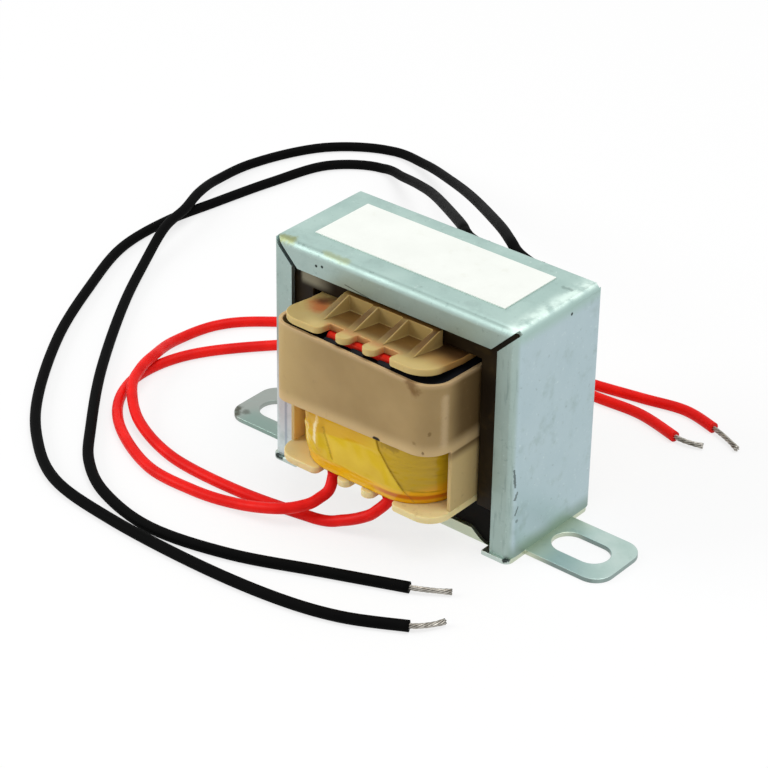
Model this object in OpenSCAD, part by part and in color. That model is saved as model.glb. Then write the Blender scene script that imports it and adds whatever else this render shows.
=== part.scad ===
// A small mains transformer: a laminated iron core in a folded steel cover, on a base plate
// with two slotted ears, with a two-chamber coil former, an insulating sleeve and four free leads.
// X runs along the ears, Y from front to back and Z up, from the middle of the underside.

/* [Core] */
// Width of the laminations
core_w = 35; // [33:0.5:40]
// Width of each outer leg of the E-shaped sheets
leg_w = 5; // [4.5:0.1:5.5]
// Width of the centre leg
tongue_w = 9.6; // [8:0.1:10]
// Height of the two winding windows
window_h = 19.5; // [19:0.1:21]
// Height of the yoke, and of the closing bars
yoke_h = 5; // [4.6:0.1:6]
// Depth of the stack of E-shaped sheets
stack_d = 14.4; // [13:0.1:15]
// How far the closing bars stand back from the faces of the stack
bar_setback = 0.7; // [0.6:0.05:1]

/* [Cover] */
// Thickness of the zinc-plated sheet
sheet_t = 0.6; // [0.5:0.05:0.65]
// Gap between the core's sides and the cover
side_gap = 0.1; // [0:0.05:0.3]
// Gap between the core's faces and the cover's lips
lip_gap = 0.2; // [0.1:0.05:0.4]
// Outside radius of the folds
fold_r = 1.1; // [0.8:0.05:1.15]
// Height of the lips along the top
top_lip_h = 3.35; // [2.8:0.05:3.6]
// Width of the lips along the sides
side_lip_w = 3; // [2.5:0.1:3.2]
// Width of the mitre slots between the lips
mitre_w = 0.6; // [0.4:0.05:0.7]

/* [Base plate] */
// Width of the ears
ear_w = 9.3; // [8.6:0.1:12]
// Corner radius of the ears
ear_r = 2.5; // [1.5:0.1:3]
// Length of the fixing slots
slot_l = 7.6; // [6:0.1:8.5]
// Width of the fixing slots
slot_w = 4.3; // [3.2:0.1:4.5]
// Gap between the cover and each fixing slot
slot_clear = 0.85; // [0.4:0.05:2]
// Metal between each slot and the end of its ear
ear_margin = 2.2; // [1.5:0.05:3]
// How far the plate and its ears sit forward of the cover's middle
plate_shift = 0.4; // [0:0.1:0.6]
// Corner radius of the plate under the cover
plate_r = 1; // [0.2:0.1:1.2]
// Height of the lips that hold the closing bars
base_lip_h = 2; // [1.5:0.1:2.5]
// Length of those lips along their top edge
base_lip_l = 23.4; // [20:0.1:24]

/* [Coil former] */
// Clearance round the centre leg
tongue_fit = 0.15; // [0.1:0.05:0.25]
// Wall of the tube
tube_t = 0.8; // [0.6:0.05:1]
// Thickness of the flanges
flange_t = 0.9; // [0.8:0.05:1]
// Gap between the flanges and the outer legs
window_fit = 0.4; // [0.3:0.05:0.6]
// How far the lower flange stands back from the sleeve's front and back
flange_inset = 0.45; // [0.1:0.05:0.8]
// Height of the former inside the core
former_h = 19.3; // [18.9:0.05:19.4]
// Height of the middle flange's underside above the former's foot
middle_h = 10.7; // [10.2:0.1:11]
// Gap between the top flange and the sleeve at the right
top_side_gap = 1; // [0.5:0.1:1.4]
// Gap between the top flange and the sleeve at the left, where the sleeve is pushed against it
top_left_gap = 0.15; // [0.1:0.05:1.4]
// How far the top flange stands back from the sleeve's front
top_inset = 0.15; // [0:0.05:0.5]
// Gap between the top flange and the sleeve at the back
top_back_gap = 0.2; // [0.1:0.05:0.5]
// Corner radius of the top flange
top_r = 3; // [2.4:0.1:3.6]
// How much the top flange rises towards its front edge
splay = 0.9; // [0.8:0.05:1.2]
// How much the top flange rises towards its back edge
back_splay = 0.4; // [0.2:0.05:0.6]
// Width of the lower flange's row of lead-out notches
notch_row_w = 11.2; // [10.8:0.1:11.6]
// Depth of the lower flange's notches
notch_depth = 2.4; // [2.3:0.05:2.5]
// Distance between the middles of the lower flange's teeth
tooth_pitch = 3.6; // [3.4:0.05:3.8]
// Width of the top flange's row of lead-out notches
top_row_w = 10.2; // [10:0.1:10.8]
// Depth of the top flange's notches
top_notch_depth = 2.25; // [2:0.05:2.4]
// Distance between the middles of the top flange's teeth
top_tooth_pitch = 3.95; // [3.8:0.05:4.1]
// Width of the teeth between the notches
tooth_w = 1.9; // [1.6:0.05:2]
// Distance between neighbouring ribs
rib_pitch = 4.4; // [4.2:0.05:4.6]
// Thickness of the ribs
rib_t = 0.9; // [0.7:0.05:1]
// Height of the ribs above the top flange
rib_h = 2; // [1.6:0.1:2.3]

/* [Sleeve and windings] */
// Length of the insulating sleeve from front to back
sleeve_d = 30.4; // [29:0.1:32]
// Wall of the sleeve
sleeve_t = 0.5; // [0.4:0.05:0.6]
// Outside corner radius of the sleeve at the right
sleeve_r = 3.4; // [3:0.1:4]
// Outside corner radius of the sleeve at the left, where it is folded tighter
sleeve_left_r = 2.2; // [1.6:0.1:3]
// Height of the sleeve's right end
sleeve_h = 9.3; // [8:0.1:9.6]
// How much lower the sleeve's lower edge runs at the left
sleeve_slant = 0.7; // [0:0.1:1.2]
// How much higher the sleeve's upper edge runs at the left
sleeve_lean = 0.5; // [0:0.05:0.6]
// How much lower the sleeve's upper edge runs at the back, where the black leads cross it
sleeve_dip = 0.7; // [0.6:0.05:1]
// Gap above the sleeve's right end, where the black wrap shows below the top flange's edge
sleeve_gap = 0.8; // [0.7:0.05:1]
// Length of the sleeve's side skirts from front to back
skirt_d = 23.4; // [20:0.1:24]
// Gap between the sleeve and the middle flange
sleeve_fit = 0.05; // [0.05:0.05:0.1]
// Room for the joints between the upper winding and the top flange
wire_room = 0.6; // [0.5:0.05:0.8]
// Gap between the black wrap and the sleeve
wrap_gap = 0.6; // [0.4:0.05:0.8]
// Thickness of the black wrap on the upper winding
wrap_t = 0.3; // [0.2:0.05:0.4]
// Thickness of the yellow tape on the lower winding
tape_t = 0.2; // [0.15:0.05:0.3]
// Gap between the taped lower winding and the sleeve's skirts
lower_side_gap = 1.2; // [0.8:0.1:1.6]
// How far the taped lower winding stands back from the sleeve's inside
lower_inset = 0.6; // [0.4:0.1:1]
// Corner radius of the taped lower winding
lower_r = 6; // [4:0.1:7]
// Diameter of the red sleeve over the winding's joints
joint_d = 1.1; // [0.9:0.05:1.1]
// Length of that sleeve
joint_l = 10.4; // [9:0.1:10.6]

/* [Label and leads] */
// Length of the label
label_w = 28; // [24:0.5:32]
// Width of the label
label_d = 9.6; // [8:0.1:12]
// Thickness of the label
label_t = 0.12; // [0.08:0.02:0.2]
// Diameter of the leads
lead_d = 1.4; // [1.2:0.05:1.4]
// Diameter of the bare strands
strand_d = 0.65; // [0.5:0.05:0.8]
// Length of the bare ends
strip_l = 5; // [3:0.5:8]

/* [Hidden] */
$fn = 64;
// Extra length of a cutting body, so that it passes clean through
over = 1;

// Levels, from the underside up
bar_top = sheet_t + yoke_h;
window_top = bar_top + window_h;
core_top = window_top + yoke_h;
cover_top = core_top + sheet_t;
lower_floor = bar_top + flange_t;
middle_floor = bar_top + middle_h;
upper_floor = middle_floor + flange_t;
flange_top = bar_top + former_h;
flange_under = flange_top - flange_t;
wrap_top = flange_under - wire_room;
sleeve_top = flange_under + splay - sleeve_gap;
sleeve_foot = sleeve_top - sleeve_h - sleeve_slant;
rib_top = flange_top + rib_h;

// Half sizes of the cover and the core
core_x = core_w / 2;
core_y = stack_d / 2;
inner_x = core_x + side_gap;
inner_y = core_y + lip_gap;
cover_x = inner_x + sheet_t;
cover_y = inner_y + sheet_t;
bar_y = core_y - bar_setback;
slot_pitch = 2 * cover_x + 2 * slot_clear + slot_l;
ear_x = (slot_pitch + slot_l) / 2 + ear_margin;
mouth_x = cover_x - side_lip_w;
mouth_top = cover_top - top_lip_h;
// The mitre slots run up at 45 degrees, a little inside the mouth's corners
mitre_inset = 0.45;
mitre_end = 0.35;
// Run of the base lips' slanting ends for each unit of their height
lip_slope = 1.3;
lip_foot_x = base_lip_l / 2 + base_lip_h * lip_slope;
// Where the plate ends and the folds of its lips begin
flat_y = bar_y + sheet_t - fold_r;

// Half sizes of the former, the sleeve and the windings
tube_x = tongue_w / 2 + tongue_fit + tube_t;
tube_y = core_y + tongue_fit + tube_t;
former_x = core_x - leg_w - window_fit;
sleeve_y = sleeve_d / 2;
sleeve_in_x = former_x - sleeve_t;
sleeve_in_y = sleeve_y - sleeve_t;
sleeve_in_r = sleeve_r - sleeve_t;
flange_y = sleeve_y - flange_inset;
top_x = sleeve_in_x - top_side_gap;
top_left_x = sleeve_in_x - top_left_gap;
top_y = sleeve_y - top_inset;
top_back_y = sleeve_in_y - top_back_gap;
middle_x = sleeve_in_x - sleeve_fit;
middle_y = sleeve_in_y - sleeve_fit;
wrap_x = sleeve_in_x - wrap_gap;
wrap_y = sleeve_in_y - wrap_gap;
wrap_r = sleeve_in_r - wrap_gap;
lower_x = sleeve_in_x - lower_side_gap;
lower_y = sleeve_in_y - lower_inset;
// Corner radius beside the row of notches
lobe_r = 0.8;
// How far the joints' sleeve lies under the roots of the notches
joint_seat = 0.6;
// Where the label was stuck, a little off the middle
label_x = -0.5;
label_y = 0.25;

// Routes of the leads, from the notches to the ends of the insulation
floor_z = lead_d / 2;
// Gap between a red lead and the root of its notch, and between its start and the winding
exit_gap = 0.2;
upper_lead_x = (top_row_w + top_tooth_pitch + tooth_w) / 4;
lower_lead_x = (notch_row_w + tooth_pitch + tooth_w) / 4;
upper_exit_y = top_back_y - top_notch_depth + lead_d / 2;
upper_exit_z = wrap_top + lead_d / 2;
lower_exit_y = flange_y - notch_depth + lead_d / 2 + exit_gap;
lead_sides = 8;
// Rings per stretch between two points of a route
lead_steps = 3;
black_route_a = [
    [upper_lead_x, upper_exit_y, upper_exit_z], [upper_lead_x, 13.7, 24.45], [4, 14.6, 24.6],
    [3.8, 15.6, 24.4], [3.1, 16.7, 23.6], [1.7, 17.4, 23.1], [0, 17.8, 23.15], [-1.8, 18.3, 23.45],
    [-4.3, 20.1, 23.5], [-11.3, 27.1, 20.5], [-30.4, 46.6, 10.5], [-43.5, 58.3, 4.5], [-53, 64.6, 1.5],
    [-60.9, 66, floor_z], [-68.9, 60.4, floor_z], [-73.2, 50.1, floor_z], [-73, 41.5, 1.2],
    [-70.8, 35.1, 2.2], [-68.6, 29.7, 2.3], [-67, 24, 2.2], [-63.6, 16.5, 1.1], [-57.6, 6, floor_z],
    [-47.8, -8.1, floor_z], [-38.9, -18.9, floor_z], [-33.5, -24.6, floor_z], [-27, -28.4, floor_z],
    [-17.8, -30.2, floor_z], [-7.2, -28.2, floor_z], [3.2, -23.9, floor_z], [12.9, -19.8, floor_z]
];
black_route_b = [
    [-upper_lead_x, upper_exit_y, upper_exit_z], [-upper_lead_x, 13.7, 24.45], [-4.1, 14.6, 24.6],
    [-4.4, 15.6, 24.4], [-5.3, 16.6, 23.65], [-6.8, 17.2, 23.25], [-8.4, 17.6, 23.3],
    [-9.8, 18.3, 23.4], [-13.6, 22, 22], [-33, 41.9, 11.5], [-42.8, 50.9, 6.5],
    [-51.5, 57.7, 2.5], [-58, 60.7, floor_z], [-64.6, 56.1, floor_z],
    [-67.2, 46.7, floor_z], [-69, 36.1, floor_z], [-70.2, 27.2, floor_z], [-69.3, 17.6, floor_z],
    [-64.8, 7, floor_z], [-58.5, -5, floor_z], [-50, -17, floor_z], [-42.6, -24.6, floor_z],
    [-33.9, -30.1, floor_z], [-23, -31.9, floor_z], [-9.2, -32.2, floor_z], [2.3, -31.3, floor_z],
    [10.5, -29.3, floor_z], [17.6, -25.6, floor_z]
];
red_route_a = [
    [-lower_lead_x, -lower_exit_y, lower_floor - exit_gap], [-lower_lead_x, -lower_exit_y, 5.4],
    [-3.8, -14.4, 4.2], [-4.3, -15.4, 3.4], [-5, -17, 2.9], [-7.5, -18.9, 2.2], [-12.8, -20.1, 1.1],
    [-19.1, -21, floor_z], [-27, -20.8, floor_z], [-35.5, -16.9, floor_z], [-40.9, -11.8, floor_z],
    [-43.3, -5.4, floor_z], [-41.9, 2.3, floor_z], [-36, 10.5, floor_z], [-28, 18, floor_z],
    [-17, 24.3, floor_z], [-5, 27.6, floor_z], [5, 28.3, floor_z], [11.1, 28.5, floor_z],
    [17.3, 26.9, floor_z]
];
red_route_b = [
    [lower_lead_x, -lower_exit_y, lower_floor - exit_gap], [lower_lead_x, -lower_exit_y, 5.4],
    [3.3, -14, 4.2], [2, -14.4, 3], [-0.8, -15.2, 1.6], [-4.5, -16.1, floor_z], [-14.8, -17.6, floor_z],
    [-25.8, -17.4, floor_z], [-34.4, -14.7, 1.2], [-40, -10.4, 2.1], [-42.3, -6.5, 2.3],
    [-43.5, -2.8, 2.2], [-45.5, 3.4, 1], [-44.3, 10.7, floor_z], [-38.9, 16.4, floor_z],
    [-29, 22.8, floor_z], [-15, 28, floor_z], [0, 30.2, floor_z], [8.6, 31.8, floor_z],
    [14.7, 33, floor_z], [19.8, 31.8, floor_z]
];

// Colours, as the object shows them
zinc = "#AEC6C2";
dark_iron = "#2B2724";
nylon = "#C2A56B";
tan_nylon = "#A68B63";

// A smooth curve through a route's points, kept on or above the floor
function point(route, i) = route[min(max(i, 0), len(route) - 1)];
function between(a, b, c, d, t) =
    b + t / 2 * (c - a + t * (2 * a - 5 * b + 4 * c - d + t * (3 * (b - c) + d - a)));
function on_floor(p) = [p.x, p.y, max(p.z, floor_z)];
function smooth(route) = [
    for (i = [0:len(route) - 2], step = [0:lead_steps - 1])
        let (before = point(route, i - 1), after = point(route, i + 2))
            on_floor(between(before, route[i], route[i + 1], after, step / lead_steps)),
    route[len(route) - 1]
];

// Directions along a curve, and a frame that is carried from ring to ring without twisting
function unit(v) = v / norm(v);
function heading(route, i) =
    i == 0 ? unit(route[1] - route[0])
    : i == len(route) - 1 ? unit(route[i] - route[i - 1])
    : unit(unit(route[i] - route[i - 1]) + unit(route[i + 1] - route[i]));
function square_to(v, along) = unit(v - (v * along) * along);
function carried(route, side, i) = i < len(route) ? square_to(side, heading(route, i)) : side;
function sides_of(route) = [
    for (i = 0, side = square_to([1, 0, 0], heading(route, 0));
        i < len(route);
        i = i + 1, side = carried(route, side, i)) side
];

// A plan outline with round corners, by its half sizes
module outline(half_x, half_y, r) {
    square([2 * half_x, 2 * (half_y - r)], center = true);
    square([2 * (half_x - r), 2 * half_y], center = true);
    for (x = [-1, 1], y = [-1, 1])
        translate([x * (half_x - r), y * (half_y - r)])
            circle(r);
}

// A block with round upright corners between two levels
module block(half_x, half_y, r, low, high) {
    translate([0, 0, low])
        linear_extrude(high - low)
            outline(half_x, half_y, r);
}

// A plain box, centred on the axis, between two levels
module box(half_x, half_y, low, high) {
    translate([-half_x, -half_y, low])
        cube([2 * half_x, 2 * half_y, high - low]);
}

// A profile seen from the side, in Y and Z, drawn out along X
module along_x(half_l) {
    rotate([90, 0, 90])
        translate([0, 0, -half_l])
            linear_extrude(2 * half_l)
                children();
}

// A profile seen from the front, in X and Z, drawn out along Y
module along_y(half_l) {
    rotate([90, 0, 0])
        translate([0, 0, -half_l])
            linear_extrude(2 * half_l)
                children();
}

// The cover's outside: the overlap of its plan, front view and side view, each with round corners
module cover_body() {
    intersection() {
        block(cover_x, cover_y, fold_r, sheet_t, cover_top);
        along_y(cover_y)
            outline(cover_x, cover_top, fold_r);
        along_x(cover_x)
            outline(cover_y, cover_top, fold_r);
    }
}

// One mitre slot with a round end, seen from the front, from the mouth's corner to the cover's corner
module mitre_slot() {
    run = cover_top - mitre_end - mouth_top;
    translate([mouth_x - mitre_inset, mouth_top])
        rotate(45) {
            translate([-over, -mitre_w / 2])
                square([run * sqrt(2) + over, mitre_w]);
            translate([run * sqrt(2), 0])
                circle(d = mitre_w);
        }
}

// The folded cover: a top and two sides, with lips all round the two open mouths
module cover() {
    color(zinc)
        difference() {
            cover_body();
            box(inner_x, inner_y, sheet_t - over, core_top);
            box(mouth_x, cover_y + over, sheet_t - over, mouth_top);
            for (x = [0, 1], y = [-1, 1])
                translate([0, y * cover_y, 0])
                    mirror([x, 0, 0])
                        along_y(cover_y - core_y)
                            mitre_slot();
        }
}

// One upturned lip of the base plate, with a round fold and slanting ends
module base_lip() {
    translate([0, -bar_y - sheet_t, 0])
        intersection() {
            along_x(lip_foot_x)
                difference() {
                    union() {
                        translate([0, fold_r])
                            square([fold_r, base_lip_h - fold_r]);
                        intersection() {
                            square(fold_r);
                            translate([fold_r, fold_r])
                                circle(fold_r);
                        }
                    }
                    translate([sheet_t, sheet_t])
                        square(base_lip_h);
                }
            along_y(fold_r + over)
                polygon([
                    [-lip_foot_x, 0], [lip_foot_x, 0],
                    [base_lip_l / 2, base_lip_h], [-base_lip_l / 2, base_lip_h]
                ]);
        }
}

// A fixing slot with round ends, in plan
module slot() {
    square([slot_l - slot_w, slot_w], center = true);
    for (end = [-1, 1])
        translate([end * (slot_l - slot_w) / 2, 0])
            circle(d = slot_w);
}

// The base plate's plan: the plate under the cover and its slotted ears, cut back where the lips fold up
module plate_outline() {
    difference() {
        translate([0, -plate_shift])
            difference() {
                union() {
                    outline(cover_x, cover_y, plate_r);
                    outline(ear_x, ear_w / 2, ear_r);
                }
                for (x = [-1, 1])
                    translate([x * slot_pitch / 2, 0])
                        slot();
            }
        for (y = [-1, 1])
            translate([0, y * (flat_y + cover_y)])
                square([2 * lip_foot_x, 2 * cover_y], center = true);
    }
}

// The base plate: a flat plate with two slotted ears, and lips that hold the closing bars
module base_plate() {
    color(zinc) {
        linear_extrude(sheet_t)
            plate_outline();
        base_lip();
        mirror([0, 1, 0])
            base_lip();
    }
}

// The stack of E-shaped sheets, with its legs down
module e_laminations() {
    color(dark_iron)
        difference() {
            box(core_x, core_y, bar_top, core_top);
            for (x = [-1, 1])
                translate([x * (core_x - leg_w + tongue_w / 2) / 2, 0, 0])
                    box((core_x - leg_w - tongue_w / 2) / 2, core_y + over, bar_top - over, window_top);
        }
}

// The stack of bars that closes the core below
module closing_bars() {
    color(dark_iron)
        box(core_x, bar_y, sheet_t, bar_top);
}

// A flange's plan, with a row of notches and rounded teeth along its front and back edges
module notched_outline(half_x, half_y, r, row_w, depth, pitch) {
    root_y = half_y - depth;
    row_x = row_w / 2;
    intersection() {
        outline(half_x, half_y, r);
        union() {
            square([2 * half_x, 2 * root_y], center = true);
            for (x = [-1, 1], y = [-1, 1]) {
                translate([x * (row_x + lobe_r), y * (half_y - lobe_r)])
                    circle(lobe_r);
                translate([x * (row_x + half_x) / 2, 0])
                    square([half_x - row_x, 2 * (half_y - lobe_r)], center = true);
                translate([x * (row_x + lobe_r + half_x) / 2, 0])
                    square([half_x - row_x - lobe_r, 2 * half_y], center = true);
                translate([x * pitch / 2, y * (half_y - tooth_w / 2)])
                    circle(d = tooth_w);
                translate([x * pitch / 2, 0])
                    square([tooth_w, 2 * (half_y - tooth_w / 2)], center = true);
            }
        }
    }
}

// The top flange's plan, which reaches further out at the left
module top_outline(half_y) {
    intersection() {
        notched_outline(max(top_x, top_left_x), half_y, top_r,
            top_row_w, top_notch_depth, top_tooth_pitch);
        translate([(top_x - top_left_x) / 2, 0])
            outline((top_x + top_left_x) / 2, half_y, top_r);
    }
}

// The front half of the top flange, flat inside the core and rising towards its edge
module top_flange_half(half_y, rise) {
    intersection() {
        translate([0, 0, flange_under - over])
            linear_extrude(flange_t + rise + 2 * over)
                top_outline(half_y);
        along_x(former_x)
            polygon([
                [-half_y, flange_top + rise], [-tube_y, flange_top], [over, flange_top],
                [over, flange_under], [-tube_y, flange_under], [-half_y, flange_under + rise]
            ]);
    }
}

// One rib, from the upright wall down to the roots of the notches
module rib(half_y, rise) {
    foot_y = half_y - top_notch_depth;
    foot_z = flange_top + rise * (foot_y - tube_y) / (half_y - tube_y);
    along_x(rib_t / 2)
        polygon([
            [-tube_y + tube_t / 2, rib_top], [-tube_y, rib_top],
            [-foot_y, foot_z], [-foot_y, foot_z - flange_t / 2],
            [-tube_y, flange_top - flange_t / 2], [-tube_y + tube_t / 2, flange_top - flange_t / 2]
        ]);
}

// The front half of the former's top: half of the flange, the upright wall and its four ribs
module former_top(half_y, rise) {
    wall_x = 1.5 * rib_pitch + rib_t / 2;
    top_flange_half(half_y, rise);
    translate([-wall_x, -tube_y, flange_under])
        cube([2 * wall_x, tube_t, rib_top - flange_under]);
    for (i = [-1.5:1:1.5])
        translate([i * rib_pitch, 0, 0])
            rib(half_y, rise);
}

// The moulded former: a tube round the centre leg, three flanges, and a ribbed wall at each face
module coil_former() {
    color(nylon)
        difference() {
            union() {
                box(tube_x, tube_y, bar_top, flange_top);
                translate([0, 0, bar_top])
                    linear_extrude(flange_t)
                        notched_outline(former_x, flange_y, sleeve_in_r,
                            notch_row_w, notch_depth, tooth_pitch);
                block(middle_x, middle_y, sleeve_in_r - sleeve_fit, middle_floor, upper_floor);
                former_top(top_y, splay);
                mirror([0, 1, 0])
                    former_top(top_back_y, back_splay);
            }
            box(tube_x - tube_t, tube_y - tube_t, bar_top - over, rib_top + over);
        }
}

// The sleeve's plan, with tighter corners at the left, drawn in by a margin
module sleeve_outline(margin) {
    intersection() {
        outline(former_x - margin, sleeve_y - margin, sleeve_left_r - margin);
        translate([-sleeve_r, 0])
            outline(former_x + sleeve_r - margin, sleeve_y - margin, sleeve_r - margin);
    }
}

// The space above the sleeve, whose upper edge runs higher at the left and lower at the back
module above_sleeve() {
    translate([former_x, -sleeve_y, sleeve_top])
        rotate([-atan(sleeve_dip / sleeve_d), atan(sleeve_lean / (2 * former_x)), 0])
            translate([-3 * former_x, -over, 0])
                cube([3 * former_x + over, sleeve_d + 2 * over, sleeve_h]);
}

// The sleeve round the upper chamber, with a skirt at each side of the lower one
module winding_sleeve() {
    high = sleeve_top + sleeve_lean + over;
    color(tan_nylon)
        difference() {
            intersection() {
                translate([0, 0, lower_floor])
                    linear_extrude(high - lower_floor)
                        difference() {
                            sleeve_outline(0);
                            sleeve_outline(sleeve_t);
                        }
                union() {
                    along_y(sleeve_y + over)
                        polygon([
                            [-former_x, sleeve_foot], [former_x, sleeve_foot + sleeve_slant],
                            [former_x, high], [-former_x, high]
                        ]);
                    box(former_x, skirt_d / 2, lower_floor, sleeve_foot + sleeve_slant);
                }
            }
            above_sleeve();
        }
}

// The upper winding, round the former's tube
module upper_winding() {
    color("#8A4B22")
        difference() {
            block(wrap_x - wrap_t, wrap_y - wrap_t, wrap_r - wrap_t, upper_floor, wrap_top - wrap_t);
            box(tube_x, tube_y, upper_floor - over, wrap_top + over);
        }
}

// The black wrap round the upper winding, laid over its upper end too
module upper_wrap() {
    color("#15171C")
        difference() {
            block(wrap_x, wrap_y, wrap_r, upper_floor, wrap_top);
            block(wrap_x - wrap_t, wrap_y - wrap_t, wrap_r - wrap_t, upper_floor - over, wrap_top - wrap_t);
            box(tube_x, tube_y, upper_floor - over, wrap_top + over);
        }
}

// The lower winding, round the former's tube
module lower_winding() {
    color("#8A4B22")
        difference() {
            block(lower_x - tape_t, lower_y - tape_t, lower_r - tape_t, lower_floor, middle_floor);
            box(tube_x, tube_y, lower_floor - over, middle_floor + over);
        }
}

// The yellow tape round the lower winding
module lower_tape() {
    color("#D4B436")
        difference() {
            block(lower_x, lower_y, lower_r, lower_floor, middle_floor);
            block(lower_x - tape_t, lower_y - tape_t, lower_r - tape_t,
                lower_floor - over, middle_floor + over);
        }
}

// The red sleeve over the winding's joints, seen through the front notches of the top flange
module joint_sleeve() {
    color("#E8201C")
        translate([0, top_notch_depth - top_y - joint_d / 2 + joint_seat, wrap_top + joint_d / 2])
            rotate([0, 90, 0])
                cylinder(d = joint_d, h = joint_l, center = true);
}

// The blank label on the cover's top
module label() {
    color("#F5F8F2")
        translate([label_x - label_w / 2, label_y - label_d / 2, cover_top])
            cube([label_w, label_d, label_t]);
}

// A lead's insulation, swept along its route as one tube
module lead(route, tint) {
    curve = smooth(route);
    sides = sides_of(curve);
    last = len(curve) - 1;
    rings = [
        for (i = [0:last])
            let (along = heading(curve, i), across = cross(along, sides[i]))
                for (k = [0:lead_sides - 1])
                    let (turn = 360 * k / lead_sides)
                        curve[i] + lead_d / 2 * (cos(turn) * sides[i] + sin(turn) * across)
    ];
    walls = [
        for (i = [0:last - 1], k = [0:lead_sides - 1])
            let (here = i * lead_sides, next = (k + 1) % lead_sides)
                [here + k, here + lead_sides + k, here + lead_sides + next, here + next]
    ];
    ends = [
        [for (k = [0:lead_sides - 1]) k],
        [for (k = [lead_sides - 1:-1:0]) last * lead_sides + k]
    ];
    color(tint)
        polyhedron(points = rings, faces = concat(walls, ends));
}

// The bare strands beyond the end of a lead's insulation
module strands(route) {
    curve = smooth(route);
    last = len(curve) - 1;
    along = heading(curve, last);
    color("#B9BCBE")
        translate(curve[last])
            rotate([0, acos(along.z), atan2(along.y, along.x)])
                cylinder(d = strand_d, h = strip_l);
}

module black_lead_a() lead(black_route_a, "#141414");
module black_lead_b() lead(black_route_b, "#141414");
module red_lead_a() lead(red_route_a, "#D81A18");
module red_lead_b() lead(red_route_b, "#D81A18");
module black_strands_a() strands(black_route_a);
module black_strands_b() strands(black_route_b);
module red_strands_a() strands(red_route_a);
module red_strands_b() strands(red_route_b);

cover();
base_plate();
e_laminations();
closing_bars();
coil_former();
winding_sleeve();
upper_winding();
upper_wrap();
lower_winding();
lower_tape();
joint_sleeve();
label();
black_lead_a();
black_lead_b();
red_lead_a();
red_lead_b();
black_strands_a();
black_strands_b();
red_strands_a();
red_strands_b();
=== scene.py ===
"""A small chassis transformer with free leads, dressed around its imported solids.

All lengths below are in millimetres and are turned to metres where they meet Blender.
"""

import logging
import math
from dataclasses import dataclass
from enum import Enum

import bmesh
import bpy
from mathutils import Matrix, Vector, noise

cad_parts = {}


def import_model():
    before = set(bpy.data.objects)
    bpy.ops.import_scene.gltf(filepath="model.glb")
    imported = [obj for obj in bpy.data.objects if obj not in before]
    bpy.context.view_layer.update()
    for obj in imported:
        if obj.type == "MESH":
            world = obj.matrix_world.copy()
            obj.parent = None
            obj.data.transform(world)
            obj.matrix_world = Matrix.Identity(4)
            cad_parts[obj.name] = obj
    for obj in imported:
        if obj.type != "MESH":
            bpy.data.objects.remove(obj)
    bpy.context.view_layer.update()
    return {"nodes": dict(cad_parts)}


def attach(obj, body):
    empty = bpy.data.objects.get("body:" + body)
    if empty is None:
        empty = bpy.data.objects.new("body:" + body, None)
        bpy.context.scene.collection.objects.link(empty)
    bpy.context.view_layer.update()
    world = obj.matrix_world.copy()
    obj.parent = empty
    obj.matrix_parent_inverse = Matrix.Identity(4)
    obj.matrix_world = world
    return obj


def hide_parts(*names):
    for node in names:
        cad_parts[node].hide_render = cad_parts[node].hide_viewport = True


LOG = logging.getLogger("transformer")
MM = 0.001
BODY = "root"

Point = tuple[float, float, float]
Colour = tuple[float, float, float, float]
WHITE: Colour = (1.0, 1.0, 1.0, 1.0)

# Settings of the noise that patches and grains are drawn with
PATCH_DETAIL = 4.0
PATCH_ROUGHNESS = 0.6
GRAIN_DETAIL = 3.0
# Values of that noise between which a colour drifts and a surface goes from smooth to rough
DRIFT_RANGE = (0.35, 0.65)
WEAR_RANGE = (0.3, 0.7)
# How far red, green and blue light spread under a soft surface, against each other
SOFT_SPREAD = (1.0, 0.7, 0.4)


class Kind(Enum):
    """Kinds of shader node that the finishes and the stage use."""

    SHADER = "ShaderNodeBsdfPrincipled"
    DIFFUSE = "ShaderNodeBsdfDiffuse"
    GLOW = "ShaderNodeEmission"
    BACKGROUND = "ShaderNodeBackground"
    EITHER = "ShaderNodeMixShader"
    SURFACE = "ShaderNodeOutputMaterial"
    WORLD = "ShaderNodeOutputWorld"
    RAY = "ShaderNodeLightPath"
    PLACE = "ShaderNodeTexCoord"
    GEOMETRY = "ShaderNodeNewGeometry"
    NOISE = "ShaderNodeTexNoise"
    MIX = "ShaderNodeMix"
    RANGE = "ShaderNodeMapRange"
    MATH = "ShaderNodeMath"
    VECTOR = "ShaderNodeVectorMath"
    BUMP = "ShaderNodeBump"


class Way(Enum):
    """Directions that a face looks in, or along which a finish changes.

    The last five lie across slanting edges of the sleeve and the tape.
    """

    RIGHT = (1.0, 0.0, 0.0)
    LEFT = (-1.0, 0.0, 0.0)
    FRONT = (0.0, -1.0, 0.0)
    BACK = (0.0, 1.0, 0.0)
    UP = (0.0, 0.0, 1.0)
    SLEEVE_TOP = (0.0207, 0.023, 1.0)
    SLEEVE_FOOT = (-0.0289, 0.0, 1.0)
    TAPE_END = (1.0, 0.0, 0.7)
    TAPE_PANEL = (-0.137, 0.0, 1.0)
    TAPE_FOOT = (0.35, 0.0, -1.0)


class Jacket(Enum):
    """The leads' insulation, by name."""

    BLACK = "black_pvc"
    RED = "red_pvc"


def linear(code: str) -> Colour:
    """Turns an sRGB hex colour into linear red, green, blue and alpha.

    Args:
        code: The colour as six hex digits after a hash.

    Returns:
        The four linear values, with an alpha of one.
    """
    shares = [int(code[i : i + 2], 16) / 255 for i in (1, 3, 5)]
    red, green, blue = (
        s / 12.92 if s <= 0.04045 else ((s + 0.055) / 1.055) ** 2.4 for s in shares
    )
    return red, green, blue, 1.0


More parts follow.
